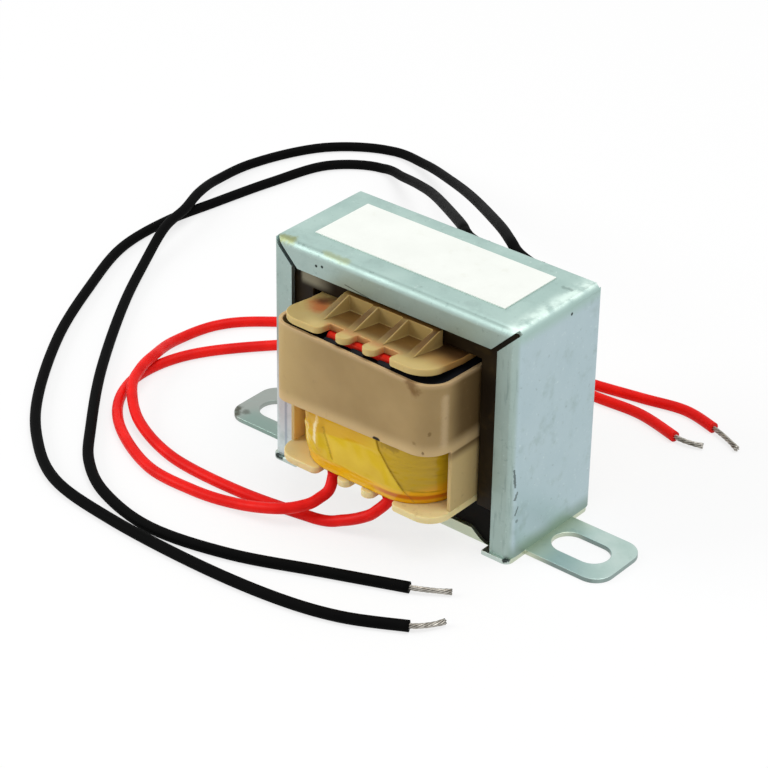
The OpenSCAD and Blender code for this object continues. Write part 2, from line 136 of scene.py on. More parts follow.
def per_mm(size: float) -> float:
    """Gives the scale of a pattern whose features are this many millimetres across."""
    return 1 / (size * MM)


def metres(point: Point) -> Vector:
    """Turns a point in millimetres into a vector in metres."""
    return Vector(point) * MM


def eased(share: float) -> float:
    """Eases a share in and out between nought and one, and holds it there."""
    held = min(max(share, 0.0), 1.0)
    return held * held * (3 - 2 * held)


def put(name: str, data: bpy.types.ID) -> bpy.types.Object:
    """Puts a new object in the scene.

    Args:
        name: Its name.
        data: Its mesh, light or camera.

    Returns:
        The object.
    """
    made = bpy.data.objects.new(name, data)
    bpy.context.scene.collection.objects.link(made)
    return made


def bare_tree(owner: bpy.types.Material | bpy.types.World) -> bpy.types.NodeTree:
    """Empties the node tree of a material or of the world.

    Args:
        owner: The material or the world.

    Returns:
        The empty tree.
    """
    owner.use_nodes = True
    owner.node_tree.nodes.clear()
    return owner.node_tree


def add_node(
    tree: bpy.types.NodeTree, kind: Kind, inputs: dict | None = None, **settings: object
) -> bpy.types.Node:
    """Adds a node with its settings and links.

    Args:
        tree: The tree that takes the node.
        kind: The node's kind.
        inputs: A value, a socket or a node, whose first output is used, for each input.
        settings: The node's own properties.

    Returns:
        The new node.
    """
    made = tree.nodes.new(kind.value)
    for name, value in settings.items():
        setattr(made, name, value)
    for name, value in (inputs or {}).items():
        if isinstance(value, bpy.types.Node):
            value = value.outputs[0]
        if isinstance(value, bpy.types.NodeSocket):
            tree.links.new(value, made.inputs[name])
        else:
            made.inputs[name].default_value = value
    return made


@dataclass(frozen=True)
class Ground:
    """What a finish's layers are laid on.

    Attributes:
        tree: The material's tree.
        place: Where on the object the shader stands, in metres.
        normal: Which way the surface looks there.
    """

    tree: bpy.types.NodeTree
    place: bpy.types.NodeSocket
    normal: bpy.types.NodeSocket


# A node or socket that measures something, and its values at none and at all of a layer
Measure = tuple[bpy.types.Node | bpy.types.NodeSocket, float, float]


@dataclass(frozen=True, kw_only=True)
class Layer:
    """A colour laid over a finish where a measure says so.

    Attributes:
        colour: The colour.
        amount: How much of it there is at most.
        within: Other layers whose shares hold this one in.
    """

    colour: str = "#000000"
    amount: float = 1.0
    within: tuple["Layer", ...] = ()

    def measure(self, ground: Ground) -> Measure:
        """Measures where the layer is; each kind of layer has its own way."""
        raise NotImplementedError

    def share(self, ground: Ground) -> bpy.types.Node:
        """Eases the layer's measure into its share.

        Args:
            ground: What the layer is laid on.

        Returns:
            The node that gives the share.
        """
        value, start, end = self.measure(ground)
        ends = {0: value, 1: start, 2: end, 3: 0.0, 4: self.amount}
        return add_node(ground.tree, Kind.RANGE, ends, interpolation_type="SMOOTHSTEP")

    def lay(self, ground: Ground, under: object) -> bpy.types.NodeSocket:
        """Lays the colour over what is there.

        Args:
            ground: What it is laid on.
            under: The colour below, as a socket or a value.

        Returns:
            The socket of the new colour.
        """
        share = self.share(ground)
        for other in self.within:
            both = {0: share, 1: other.share(ground)}
            share = add_node(ground.tree, Kind.MATH, both, operation="MULTIPLY")
        laid = {0: share, 6: under, 7: linear(self.colour)}
        return add_node(ground.tree, Kind.MIX, laid, data_type="RGBA").outputs[2]


@dataclass(frozen=True, kw_only=True)
class Facing(Layer):
    """A layer on the faces that look one way.

    Attributes:
        way: The way they look.
        start: How squarely a face looks that way where the layer starts.
        end: How squarely it does where the layer is whole.
    """

    way: Way
    start: float = 0.3
    end: float = 0.9

    def measure(self, ground: Ground) -> Measure:
        """Measures how squarely the surface looks the way.

        Args:
            ground: What the layer is laid on.

        Returns:
            The measure.
        """
        both = {0: ground.normal, 1: self.way.value}
        looks = add_node(ground.tree, Kind.VECTOR, both, operation="DOT_PRODUCT")
        return looks.outputs["Value"], self.start, self.end


@dataclass(frozen=True, kw_only=True)
class Band(Layer):
    """A layer that comes in along a direction.

    Attributes:
        axis: The direction.
        start: The distance where the layer starts.
        end: The distance where it is whole.
    """

    axis: Way
    start: float
    end: float

    def measure(self, ground: Ground) -> Measure:
        """Measures the distance along the direction.

        Args:
            ground: What the layer is laid on.

        Returns:
            The measure.
        """
        both = {0: ground.place, 1: self.axis.value}
        along = add_node(ground.tree, Kind.VECTOR, both, operation="DOT_PRODUCT")
        return along.outputs["Value"], self.start * MM, self.end * MM


@dataclass(frozen=True, kw_only=True)
class Blotch(Layer):
    """A layer in irregular patches.

    Attributes:
        size: Size of the patches.
        start: The pattern's value where a patch starts.
        end: The value where it is whole.
        stretch: How much finer the pattern is along each axis.
    """

    size: float
    start: float = 0.5
    end: float = 0.65
    stretch: Point = (1.0, 1.0, 1.0)

    def measure(self, ground: Ground) -> Measure:
        """Measures an irregular pattern.

        Args:
            ground: What the layer is laid on.

        Returns:
            The measure.
        """
        both = {0: ground.place, 1: self.stretch}
        grown = {
            "Vector": add_node(ground.tree, Kind.VECTOR, both, operation="MULTIPLY"),
            "Scale": per_mm(self.size), "Detail": PATCH_DETAIL, "Roughness": PATCH_ROUGHNESS,
        }
        return add_node(ground.tree, Kind.NOISE, grown), self.start, self.end


@dataclass(frozen=True, kw_only=True)
class Lines(Layer):
    """A layer in even lines, such as the edges of stacked sheets.

    Attributes:
        axis: The direction across the lines.
        pitch: Distance from one line to the next.
        start: Share of the pitch, from the middle between two lines, where a line starts.
        end: The share where it is whole.
    """

    axis: Way
    pitch: float
    start: float = 0.3
    end: float = 0.45

    def measure(self, ground: Ground) -> Measure:
        """Measures the distance from the middle between two lines.

        Args:
            ground: What the layer is laid on.

        Returns:
            The measure.
        """
        both = {0: ground.place, 1: self.axis.value}
        along = add_node(ground.tree, Kind.VECTOR, both, operation="DOT_PRODUCT")
        pitch = self.pitch * MM
        swing = {0: along.outputs["Value"], 1: pitch / 2}
        swung = add_node(ground.tree, Kind.MATH, swing, operation="PINGPONG")
        return swung, self.start * pitch, self.end * pitch


@dataclass(frozen=True, kw_only=True)
class Mark(Layer):
    """A single mark: a spot, or a streak between two points.

    Attributes:
        start: Where the mark starts.
        end: Where a streak ends; a spot has none.
        radius: How far it reaches round that line.
        core: Share of the radius that is covered in full.
        ragged: How far its rim wanders in and out.
    """

    start: Point
    end: Point | None = None
    radius: float
    core: float = 0.5
    ragged: float = 0.0

    def measure(self, ground: Ground) -> Measure:
        """Measures the distance from the spot or the streak.

        Args:
            ground: What the layer is laid on.

        Returns:
            The measure.
        """
        tree, first = ground.tree, metres(self.start)
        away = add_node(tree, Kind.VECTOR, {0: ground.place, 1: tuple(first)}, operation="SUBTRACT")
        foot: object = (0.0, 0.0, 0.0)
        if self.end:
            reach = metres(self.end) - first
            unit = tuple(reach / reach.length_squared)
            share = add_node(tree, Kind.VECTOR, {0: away, 1: unit}, operation="DOT_PRODUCT")
            held = add_node(tree, Kind.RANGE, {0: share.outputs["Value"]})
            foot = add_node(tree, Kind.VECTOR, {0: tuple(reach), 3: held}, operation="SCALE")
        gap = add_node(tree, Kind.VECTOR, {0: away, 1: foot}, operation="DISTANCE").outputs["Value"]
        wander = self.ragged * MM
        if wander:
            fine = {"Vector": ground.place, "Scale": per_mm(self.ragged), "Detail": GRAIN_DETAIL}
            rim = {0: add_node(tree, Kind.NOISE, fine), 1: 2 * wander, 2: gap}
            gap = add_node(tree, Kind.MATH, rim, operation="MULTIPLY_ADD")
        return gap, self.radius * MM + wander, self.core * self.radius * MM + wander


@dataclass(frozen=True, kw_only=True)
class Stain(Mark):
    """A mark that fades out from its middle."""

    core: float = 0.1


@dataclass(frozen=True, kw_only=True)
class Finish:
    """A material made of a drifting colour, layers over it and a fine grain.

    Attributes:
        name: The material's name, after the real one and how it was made.
        colour: Its main colour.
        drift: The colour that it drifts towards in patches.
        drift_mm: Size of those patches.
        roughness: Its roughness where it is smoothest and where it is roughest.
        grain_mm: Size of the surface's grain.
        grain_depth: Depth of that grain.
        metallic: Share of metal.
        specular: Level of the mirror reflection of a surface that isn't metal.
        soft: Share of the light that spreads under the surface.
        soft_mm: How far it spreads.
        layers: What lies over the colour, from the lowest.
    """

    name: str
    colour: str
    drift: str
    drift_mm: float
    roughness: tuple[float, float]
    grain_mm: float
    grain_depth: float
    metallic: float = 0.0
    specular: float = 0.5
    soft: float = 0.0
    soft_mm: float = 0.6
    layers: tuple[Layer, ...] = ()

    def material(self) -> bpy.types.Material:
        """Makes the material.

        Returns:
            The finished material.
        """
        material = bpy.data.materials.new(self.name)
        tree = bare_tree(material)
        place = add_node(tree, Kind.PLACE).outputs["Object"]
        ground = Ground(tree, place, add_node(tree, Kind.GEOMETRY).outputs["Normal"])
        patches = {"Vector": place, "Scale": per_mm(self.drift_mm), "Detail": PATCH_DETAIL}
        cloud = add_node(tree, Kind.NOISE, patches)
        share = add_node(tree, Kind.RANGE, {0: cloud, 1: DRIFT_RANGE[0], 2: DRIFT_RANGE[1]})
        tones = {0: share, 6: linear(self.colour), 7: linear(self.drift)}
        colour = add_node(tree, Kind.MIX, tones, data_type="RGBA").outputs[2]
        for layer in self.layers:
            colour = layer.lay(ground, colour)
        wear = {0: cloud, 1: WEAR_RANGE[0], 2: WEAR_RANGE[1]}
        wear[3], wear[4] = self.roughness
        grains = {"Vector": place, "Scale": per_mm(self.grain_mm), "Detail": GRAIN_DETAIL}
        height = add_node(tree, Kind.NOISE, grains)
        facts = {
            "Base Color": colour,
            "Metallic": self.metallic,
            "Roughness": add_node(tree, Kind.RANGE, wear),
            "Normal": add_node(
                tree, Kind.BUMP, {"Distance": self.grain_depth * MM, "Height": height}
            ),
            "Specular IOR Level": self.specular,
            "Subsurface Weight": self.soft,
            "Subsurface Radius": SOFT_SPREAD,
            "Subsurface Scale": self.soft_mm * MM,
        }
        add_node(tree, Kind.SURFACE, {"Surface": add_node(tree, Kind.SHADER, facts)})
        return material

    def dress(self, piece: bpy.types.Object) -> None:
        """Gives a piece this finish in place of what it has.

        Args:
            piece: The piece.
        """
        material = bpy.data.materials.get(self.name) or self.material()
        for place in piece.material_slots:
            place.material = material
        if not piece.material_slots:
            piece.data.materials.append(material)


# Places that other layers are held within
RIGHT_SIDE = Facing(way=Way.RIGHT)
FRONT_LIPS = Facing(way=Way.FRONT, start=0.4)
FOLD_TOP = Facing(way=Way.UP, start=0.1, end=0.5)
FLAT_TOP = Facing(way=Way.UP, start=0.93, end=0.985)
FRONT_HALF = Band(axis=Way.FRONT, start=-6.0, end=6.0)
FRONT_OF_BACK = Band(axis=Way.FRONT, start=-13.4, end=-9.8)
TOP_FLANGE = Band(axis=Way.UP, start=23.0, end=23.6)
RIGHT_OF_LOBE = Band(axis=Way.RIGHT, start=-9.5, end=-5.5)
TAPE_LAP = Band(axis=Way.TAPE_END, start=12.74, end=12.88)

# Cold-rolled sheet, folded, zinc-plated and dipped in a clear passivating bath. It gives a
# soft grey mirror with a pale blue-green cast, cloudy where the bath ran off and yellow-green
# where it dried in a fold. Painted light stands in it too: a painted highlight along the right
# fold, painted reflection on the right side and the left lip, and painted shade on the front
# lips and the folds. The plating's grain is drawn coarser than it is, so that it shows.
COVER_ZINC = Finish(
    name="zinc_plated_folded_steel", colour="#B3CBC4", drift="#A3BBB5", drift_mm=6.0,
    roughness=(0.42, 0.56), grain_mm=0.35, grain_depth=0.006, metallic=1.0,
    layers=(
        # Painted reflection and shade: the right side is painted bluer, for the floor it mirrors,
        # and the front lips darker.
        Facing(way=Way.RIGHT, colour="#B5C8CD"),
        Facing(way=Way.FRONT, colour="#A6B9B3", start=0.4),
        # Painted reflection: the lower left front lip is painted whitish, for the floor that it
        # mirrors.
        Band(colour="#D2DCDD", axis=Way.LEFT, start=14.6, end=15.4, amount=0.85, within=(
            FRONT_LIPS, Band(axis=Way.UP, start=17.0, end=13.0),
        )),
        Blotch(colour="#94A9A4", size=2.4, start=0.5, end=0.75, amount=0.4),
        Blotch(colour="#778984", size=0.7, start=0.6, end=0.78, amount=0.45),
        Blotch(colour="#DCE9E5", size=0.5, start=0.6, end=0.76, amount=0.35),
        # Painted shade: the front fold is painted darker, to damp the lamps' highlight on it. The
        # dark speckle over it is partly the plating's speckle and partly more of that painted
        # shade.
        Facing(way=Way.FRONT, colour="#8FA49E", start=0.1, end=0.5, amount=0.75, within=(
            FOLD_TOP,
        )),
        Blotch(colour="#5F736E", size=0.6, start=0.56, end=0.74, amount=0.5, within=(
            Facing(way=Way.FRONT, start=0.1, end=0.5), FOLD_TOP,
        )),
        Blotch(
            colour="#7A8D88", size=0.5, stretch=(1.0, 1.0, 0.12), start=0.52, end=0.7, amount=0.45,
            within=(FRONT_LIPS, Band(axis=Way.RIGHT, start=14.5, end=15.5)),
        ),
        # Painted reflection and shade: the foot of the right side is painted darker green, as the
        # ear mirrors in it.
        Band(colour="#7D9484", axis=Way.UP, start=3.0, end=0.7, amount=0.75, within=(RIGHT_SIDE,)),
        # Painted highlight: a pale, broken band along the top's right fold, where a rounder bend
        # would catch the light.
        Band(colour="#E4F6EE", axis=Way.RIGHT, start=15.2, end=17.2, amount=0.85, within=(
            Facing(way=Way.UP, start=0.5, end=0.9), Blotch(size=2.2, start=0.3, end=0.6),
        )),
        # Painted shade: the right side is painted darker just below the fold.
        Band(colour="#A6C2B7", axis=Way.UP, start=28.4, end=30.0, amount=0.7, within=(RIGHT_SIDE,)),
        Stain(colour="#7C908A", start=(15.5, 3.8, 30.7), end=(16.4, 3.9, 30.7), radius=0.5,
              ragged=0.5, amount=0.6),
        Stain(colour="#8F9358", start=(-16.9, -7.7, 30.5), end=(-15.6, -7.4, 30.6), radius=1.0,
              ragged=0.6, amount=0.75),
        Stain(colour="#A0A878", start=(-10.4, -7.4, 30.6), end=(-7.2, -7.4, 30.6), radius=0.7,
              ragged=0.5, amount=0.55),
        Mark(colour="#232A29", start=(-11.4, -8.0, 28.75), radius=0.24),
        Mark(colour="#232A29", start=(-10.5, -8.0, 28.94), radius=0.24),
        Mark(colour="#3A4342", start=(18.2, 1.77, 29.14), radius=0.26),
        Mark(colour="#93A2B0", start=(-16.2, -8.0, 1.5), end=(-16.2, -8.0, 9.5), radius=0.3,
             core=0.2, amount=0.7),
        Mark(colour="#4E5A57", start=(-7.0, -8.0, 27.85), end=(-3.2, -8.0, 27.35), radius=0.09,
             amount=0.8),
        Mark(colour="#55605E", start=(18.0, -7.6, 12.6), end=(18.05, -7.4, 10.4), radius=0.16,
             ragged=0.15, amount=0.8),
        Mark(colour="#66716F", start=(18.15, -7.1, 9.5), end=(18.1, -7.4, 8.6), radius=0.18,
             ragged=0.2, amount=0.8),
        Mark(colour="#5E6967", start=(18.2, -6.9, 7.5), end=(18.15, -7.3, 6.5), radius=0.14,
             ragged=0.15, amount=0.8),
        Mark(colour="#66716F", start=(18.2, -7.0, 5.6), radius=0.3, amount=0.6),
    ),
)
# The same sheet, flat: greener on the ears, yellowed beside the cover and grimy at the far
# ear's tip, with painted shadow under the cover's front corners.
PLATE_ZINC = Finish(
    name="zinc_plated_flat_steel", colour="#C0D3CD", drift="#AFC6BF", drift_mm=4.0,
    roughness=(0.3, 0.42), grain_mm=0.35, grain_depth=0.004, metallic=1.0,
    layers=(
        Facing(way=Way.FRONT, colour="#7C8B87", start=0.4),
        Facing(way=Way.RIGHT, colour="#8FA09C", start=0.4),
        Band(colour="#D6DCC0", axis=Way.RIGHT, start=22.5, end=18.4, amount=0.7),
        Band(colour="#949A98", axis=Way.RIGHT, start=-17.0, end=-21.0, amount=0.85),
        Band(colour="#7F9C92", axis=Way.FRONT, start=0.5, end=4.0, amount=0.7, within=(
            Band(axis=Way.RIGHT, start=-17.0, end=-19.0),
            Band(axis=Way.RIGHT, start=-28.0, end=-25.5),
        )),
        Band(colour="#BFCDC8", axis=Way.FRONT, start=7.7, end=8.0, amount=0.9),
        # Painted shadow: dark spots under the cover's front corners.
        Mark(colour="#2E3432", start=(-17.3, -8.2, 0.5), end=(-16.7, -8.2, 0.5), radius=0.5,
             ragged=0.2),
        Mark(colour="#3A4240", start=(17.6, -8.2, 0.5), end=(18.0, -8.0, 0.7), radius=0.4,
             ragged=0.2),
        Stain(colour="#35341C", start=(-28.4, -3.3, 0.6), end=(-27.5, -4.6, 0.6), radius=0.8,
              ragged=0.4, amount=0.8),
        Stain(colour="#4A4C40", start=(-27.0, -3.3, 0.6), end=(-26.8, -3.5, 0.6), radius=0.7,
              ragged=0.4, amount=0.6),
        Blotch(colour="#9DB5AC", size=1.6, start=0.55, end=0.8, amount=0.6),
    ),
)
# Silicon-steel sheets, stamped, stacked and dipped in varnish. It gives a dark, uneven gloss
# with fine lines where the sheets' edges show, and a pale olive patch near the coil that is
# partly the varnish's cast and partly painted light.
SHEET_STACK = Finish(
    name="varnished_stamped_silicon_steel", colour="#2A1E10", drift="#35270F", drift_mm=3.0,
    roughness=(0.35, 0.55), grain_mm=0.5, grain_depth=0.01, specular=0.12,
    layers=(
        Lines(colour="#0A0907", axis=Way.BACK, pitch=0.5, amount=0.7),
        # Partly painted light: the olive patch at the window's top left is made paler to lift it
        # out of the shade it lies in.
        Band(colour="#8C8874", axis=Way.LEFT, start=9.0, end=12.6, amount=0.9, within=(
            Band(axis=Way.UP, start=25.0, end=26.0), Band(axis=Way.RIGHT, start=-14.6, end=-14.0),
        )),
        Blotch(colour="#3A2D14", size=2.5, start=0.5, end=0.75, amount=0.6),
    ),
)
# The closing bars are the same sheets, cut short: nearly black and matt, darker than the stack.
BAR_STACK = Finish(
    name="stamped_silicon_steel_bars", colour="#100F0E", drift="#181614", drift_mm=2.0,
    roughness=(0.5, 0.7), grain_mm=0.5, grain_depth=0.01, specular=0.06,
    layers=(Lines(colour="#060606", axis=Way.BACK, pitch=0.5, amount=0.7),),
)
# Nylon, injection-moulded and soaked in varnish. It gives a warm, waxy yellow with pale rims,
# which turns to dark amber and brown between the ribs and against the core: partly varnish,
# mostly painted shade. The lower flange is painted paler as painted light, the top flange darker
# as painted shade, and orange-red spots by a rib and the joint sleeve are painted red glow.
FORMER_NYLON = Finish(
    name="moulded_nylon_soaked_in_varnish", colour="#E2CB8C", drift="#D6BC78", drift_mm=4.0,
    roughness=(0.38, 0.52), grain_mm=0.6, grain_depth=0.006, specular=0.25, soft=0.4,
    layers=(
        # Painted light: the lower flange is painted paler.
        Band(colour="#F0DFA6", axis=Way.UP, start=7.2, end=6.6, amount=0.8),
        # Painted shade: the top flange is painted darker.
        Band(colour="#B79F64", axis=Way.UP, start=22.5, end=23.5, amount=0.65),
        # Painted shade, partly varnish: the top flange darkens to amber and brown towards the core
        # and between the ribs.
        Band(colour="#74501C", axis=Way.BACK, start=-13.4, end=-9.8, amount=0.3, within=(
            FRONT_OF_BACK, TOP_FLANGE, RIGHT_OF_LOBE,
        )),
        Band(colour="#553300", axis=Way.BACK, start=-14.2, end=-10.8, amount=0.9, within=(
            FRONT_OF_BACK, TOP_FLANGE, RIGHT_OF_LOBE, Band(axis=Way.RIGHT, start=9.0, end=6.5),
            FLAT_TOP,
        )),
        # Painted shade: the top face of the top flange's left lobe is painted darker.
        Facing(way=Way.UP, colour="#9A834C", start=0.93, end=0.985, amount=0.6, within=(
            Band(axis=Way.LEFT, start=6.0, end=8.5), TOP_FLANGE,
        )),
        # Painted shade: the right lobe's back and the strip against the core are painted dark
        # brown.
        Band(colour="#8E5A22", axis=Way.RIGHT, start=5.5, end=10.0, amount=0.65, within=(
            FRONT_OF_BACK, TOP_FLANGE, Band(axis=Way.BACK, start=-13.5, end=-10.5),
        )),
        Band(colour="#331A06", axis=Way.BACK, start=-11.6, end=-8.2, amount=0.9, within=(
            FRONT_OF_BACK, TOP_FLANGE, Band(axis=Way.RIGHT, start=6.0, end=7.5), FLAT_TOP,
        )),
        # Painted red glow left of the ribs and by the joint sleeve, and painted shade in the corner
        # by the core.
        Stain(colour="#A64B22", start=(-9.6, -9.4, 25.3), end=(-8.6, -10.4, 25.3), radius=2.2,
              ragged=0.6, amount=0.75),
        Stain(colour="#4A2010", start=(-9.0, -7.8, 25.3), end=(-9.8, -8.6, 25.3), radius=1.6,
              ragged=0.4, amount=0.8),
        Stain(colour="#C4663A", start=(-4.8, -13.2, 24.9), end=(4.8, -13.2, 24.9), radius=1.3,
              ragged=0.4, amount=0.6),
        Blotch(colour="#A98848", size=1.2, start=0.58, end=0.8, amount=0.5),
    ),
)
# Nylon, moulded thin and left bare. It gives a flat, dusty tan with brown varnish runs and
# specks of dirt. Its pale pinkish rims along both cut edges are painted highlight and glow, its
# left end and skirts are painted paler as painted light, it is painted dark against the core as
# painted shade, and a pale streak on its right front corner is a painted highlight.
SLEEVE_NYLON = Finish(
    name="moulded_thin_tan_nylon", colour="#A78D60", drift="#9C8358", drift_mm=6.0,
    roughness=(0.45, 0.6), grain_mm=0.5, grain_depth=0.006, specular=0.18, soft=0.25,
    layers=(
        # Painted light: the sleeve is painted paler towards its left end.
        Band(colour="#C2A873", axis=Way.LEFT, start=3.0, end=12.0, amount=0.8),
        # Painted shade: the sleeve is painted dark brown towards the core, front and back.
        Band(colour="#4A3517", axis=Way.BACK, start=-13.4, end=-9.8, amount=0.8, within=(
            FRONT_OF_BACK, Band(axis=Way.UP, start=12.5, end=15.0),
        )),
        # Painted light: the skirts, and most of all the left skirt's inner face, are painted paler.
        Band(colour="#D2BA82", axis=Way.UP, start=14.3, end=13.0, amount=0.7),
        Facing(way=Way.RIGHT, colour="#F0CF94", amount=0.8, within=(
            Band(axis=Way.LEFT, start=9.0, end=11.0), Band(axis=Way.UP, start=13.5, end=12.5),
        )),
        # Painted highlight and glow: pale pinkish rims along the sleeve's top and foot.
        Band(colour="#C6AA82", axis=Way.SLEEVE_TOP, start=23.3, end=24.0, amount=0.6),
        Band(colour="#D4B888", axis=Way.SLEEVE_FOOT, start=16.4, end=14.6, amount=0.7, within=(
            Band(axis=Way.SLEEVE_FOOT, start=14.0, end=14.3),
        )),
        Stain(colour="#6B4A22", start=(8.6, -15.2, 24.0), end=(9.2, -15.0, 23.2), radius=1.1,
              ragged=0.6, amount=0.75),
        # Painted highlight: a pale streak down the right front corner.
        Stain(colour="#C8AF88", start=(12.0, -12.9, 22.2), end=(12.0, -12.9, 16.0), radius=0.8,
              ragged=0.2, amount=0.55),
        Mark(colour="#1C160E", start=(3.7, -15.2, 14.65), end=(4.1, -15.2, 14.65), radius=0.4,
             core=0.7, ragged=0.1),
        Mark(colour="#5C4322", start=(10.3, -14.7, 15.2), radius=0.28, ragged=0.3, amount=0.7),
        Stain(colour="#6B4F26", start=(10.9, -14.3, 17.7), end=(10.9, -14.3, 17.9), radius=0.3,
              ragged=0.3, amount=0.6),
        Stain(colour="#6B4F26", start=(9.2, -15.1, 16.4), end=(9.4, -15.1, 16.3), radius=0.28,
              ragged=0.3, amount=0.45),
        Blotch(colour="#97805C", size=1.0, start=0.58, end=0.8, amount=0.4),
    ),
)
# Copper wire, drawn, enamelled and wound in close turns: reddish brown with fine dark lines
# between the turns.
COPPER_TURNS = Finish(
    name="wound_enamelled_copper_wire", colour="#8A4B22", drift="#7A3F1B", drift_mm=3.0,
    roughness=(0.25, 0.35), grain_mm=0.4, grain_depth=0.01, metallic=1.0,
    layers=(Lines(colour="#3A1D0B", axis=Way.UP, pitch=0.4, amount=0.8),),
)
# Crepe paper, impregnated and wrapped on: a dull blue-black.
BLACK_WRAP = Finish(
    name="impregnated_black_crepe_paper", colour="#090A0E", drift="#101219", drift_mm=1.5,
    roughness=(0.6, 0.8), grain_mm=0.5, grain_depth=0.02, specular=0.2,
)
# Polyester tape, cast, coated with glue and wound on with its end lapped. It gives a glossy,
# clear yellow, amber where it turns in at its edges, with a painted highlight on its left bend
# and painted shade in a crease and under the sleeve's edge.
YELLOW_TAPE = Finish(
    name="cast_yellow_polyester_tape", colour="#E4C22C", drift="#D6B01E", drift_mm=5.0,
    roughness=(0.1, 0.17), grain_mm=1.5, grain_depth=0.012, specular=0.32,
    layers=(
        Band(colour="#BF9A18", axis=Way.TAPE_END, start=12.74, end=12.88, amount=0.85, within=(
            FRONT_HALF,
        )),
        Band(colour="#D39E10", axis=Way.TAPE_PANEL, start=12.2, end=12.6, amount=0.75, within=(
            Band(axis=Way.LEFT, start=-4.0, end=0.0),
        )),
        Band(colour="#F4BC12", axis=Way.UP, start=8.6, end=8.0, amount=0.85),
        Band(colour="#EBA20C", axis=Way.TAPE_FOOT, start=-6.2, end=-5.0, amount=0.6),
        Band(colour="#C86408", axis=Way.UP, start=7.95, end=7.6, amount=0.9, within=(
            Band(axis=Way.UP, start=6.95, end=7.3), Band(axis=Way.RIGHT, start=1.0, end=5.0),
        )),
        # Painted highlight: a cream streak down the left bend.
        Mark(colour="#F6EBB4", start=(-6.0, -14.5, 13.2), end=(-6.1, -14.4, 10.2), radius=0.6,
             ragged=0.4, core=0.2, amount=0.8),
        # Painted shade: a dark line along the crease.
        Mark(colour="#A07C08", start=(-4.7, -14.4, 12.4), end=(-3.3, -14.45, 8.8), radius=0.22,
             ragged=0.25, amount=0.5),
        # Painted shade: a dark patch under the sleeve's edge, right of the lap.
        Stain(colour="#8C6C04", start=(4.2, -14.4, 13.7), end=(6.0, -14.3, 13.6), radius=0.6,
              ragged=0.5, amount=0.6),
        Blotch(
            colour="#9C7A06", size=1.4, stretch=(0.3, 0.3, 2.4), start=0.54, end=0.7, amount=0.6,
            within=(FRONT_HALF, TAPE_LAP),
        ),
    ),
)
# Silicone sleeving, extruded: a bright red with a soft gloss.
RED_SLEEVING = Finish(
    name="extruded_red_silicone_sleeving", colour="#FF3A26", drift="#F02A1A", drift_mm=1.0,
    roughness=(0.35, 0.45), grain_mm=0.4, grain_depth=0.005, specular=0.2,
)
# Paper-backed film, calendered and die-cut: a bright, even white, very slightly yellowed in
# patches.
LABEL_FILM = Finish(
    name="calendered_white_label_film", colour="#F1F4EE", drift="#EDF0EA", drift_mm=4.0,
    roughness=(0.45, 0.6), grain_mm=0.3, grain_depth=0.002, specular=0.4,
    layers=(Blotch(colour="#E6E8DC", size=2.0, start=0.6, end=0.8, amount=0.5),),
)
# PVC, extruded on the wire: a smooth skin, scuffed in patches. The black one is dull, and the
# red one has a slight sheen.
BLACK_PVC = Finish(
    name="extruded_black_pvc", colour="#070707", drift="#0B0B0B", drift_mm=3.0,
    roughness=(0.6, 0.72), grain_mm=0.5, grain_depth=0.004, specular=0.03,
    layers=(Blotch(colour="#111112", size=1.2, start=0.6, end=0.8, amount=0.5),),
)
RED_PVC = Finish(
    name="extruded_red_pvc", colour="#F01C15", drift="#E01410", drift_mm=3.0,
    roughness=(0.34, 0.46), grain_mm=0.5, grain_depth=0.004, specular=0.12,
    layers=(Blotch(colour="#C81410", size=1.2, start=0.6, end=0.8, amount=0.4),),
)
# Copper strands, hot-dipped in tin and twisted: grey silver with bright streaks.
TINNED_STRANDS = Finish(
    name="twisted_tinned_copper_strands", colour="#B8B4AC", drift="#7C7870", drift_mm=0.8,
    roughness=(0.28, 0.42), grain_mm=0.2, grain_depth=0.004, metallic=1.0,
)


def add_tube(mesh: bmesh.types.BMesh, centres: list[Vector], radius: float, sides: int) -> None:
    """Sweeps a round tube with closed ends along a line, without twisting it.

    Args:
        mesh: The mesh that takes the tube, in metres.
        centres: The middles of its rings.
        radius: Its radius.
        sides: Faces round it.
    """
    steps = [(b - a).normalized() for a, b in zip(centres, centres[1:])]
    side = steps[0].orthogonal()
    rings = []
    for i, centre in enumerate(centres):
        ahead = (steps[max(i - 1, 0)] + steps[min(i, len(steps) - 1)]).normalized()
        side = (side - ahead * side.dot(ahead)).normalized()
        across = ahead.cross(side)
        ring = []
        for k in range(sides):
            turn = 2 * math.pi * k / sides
            rim = centre + (side * math.cos(turn) + across * math.sin(turn)) * radius
            ring.append(mesh.verts.new(rim * MM))
        rings.append(ring)
    for a, b in zip(rings, rings[1:]):
        for k in range(sides):
            after = (k + 1) % sides
            mesh.faces.new((a[k], a[after], b[after], b[k])).smooth = True
    mesh.faces.new(reversed(rings[0]))
    mesh.faces.new(rings[-1])


def to_piece(
    mesh: bmesh.types.BMesh, name: str, replaced: str | None = None
) -> bpy.types.Object:
    """Turns a finished mesh into a piece of the scene.

    Args:
        mesh: The mesh, which is used up.
        name: The piece's name.
        replaced: The solid that it stands for, if there is one.

    Returns:
        The piece.
    """
    data = bpy.data.meshes.new(name)
    bmesh.ops.recalc_face_normals(mesh, faces=mesh.faces)
    mesh.to_mesh(data)
    mesh.free()
    piece = put(name, data)
    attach(piece, BODY)
    if replaced:
        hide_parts(replaced)
    return piece


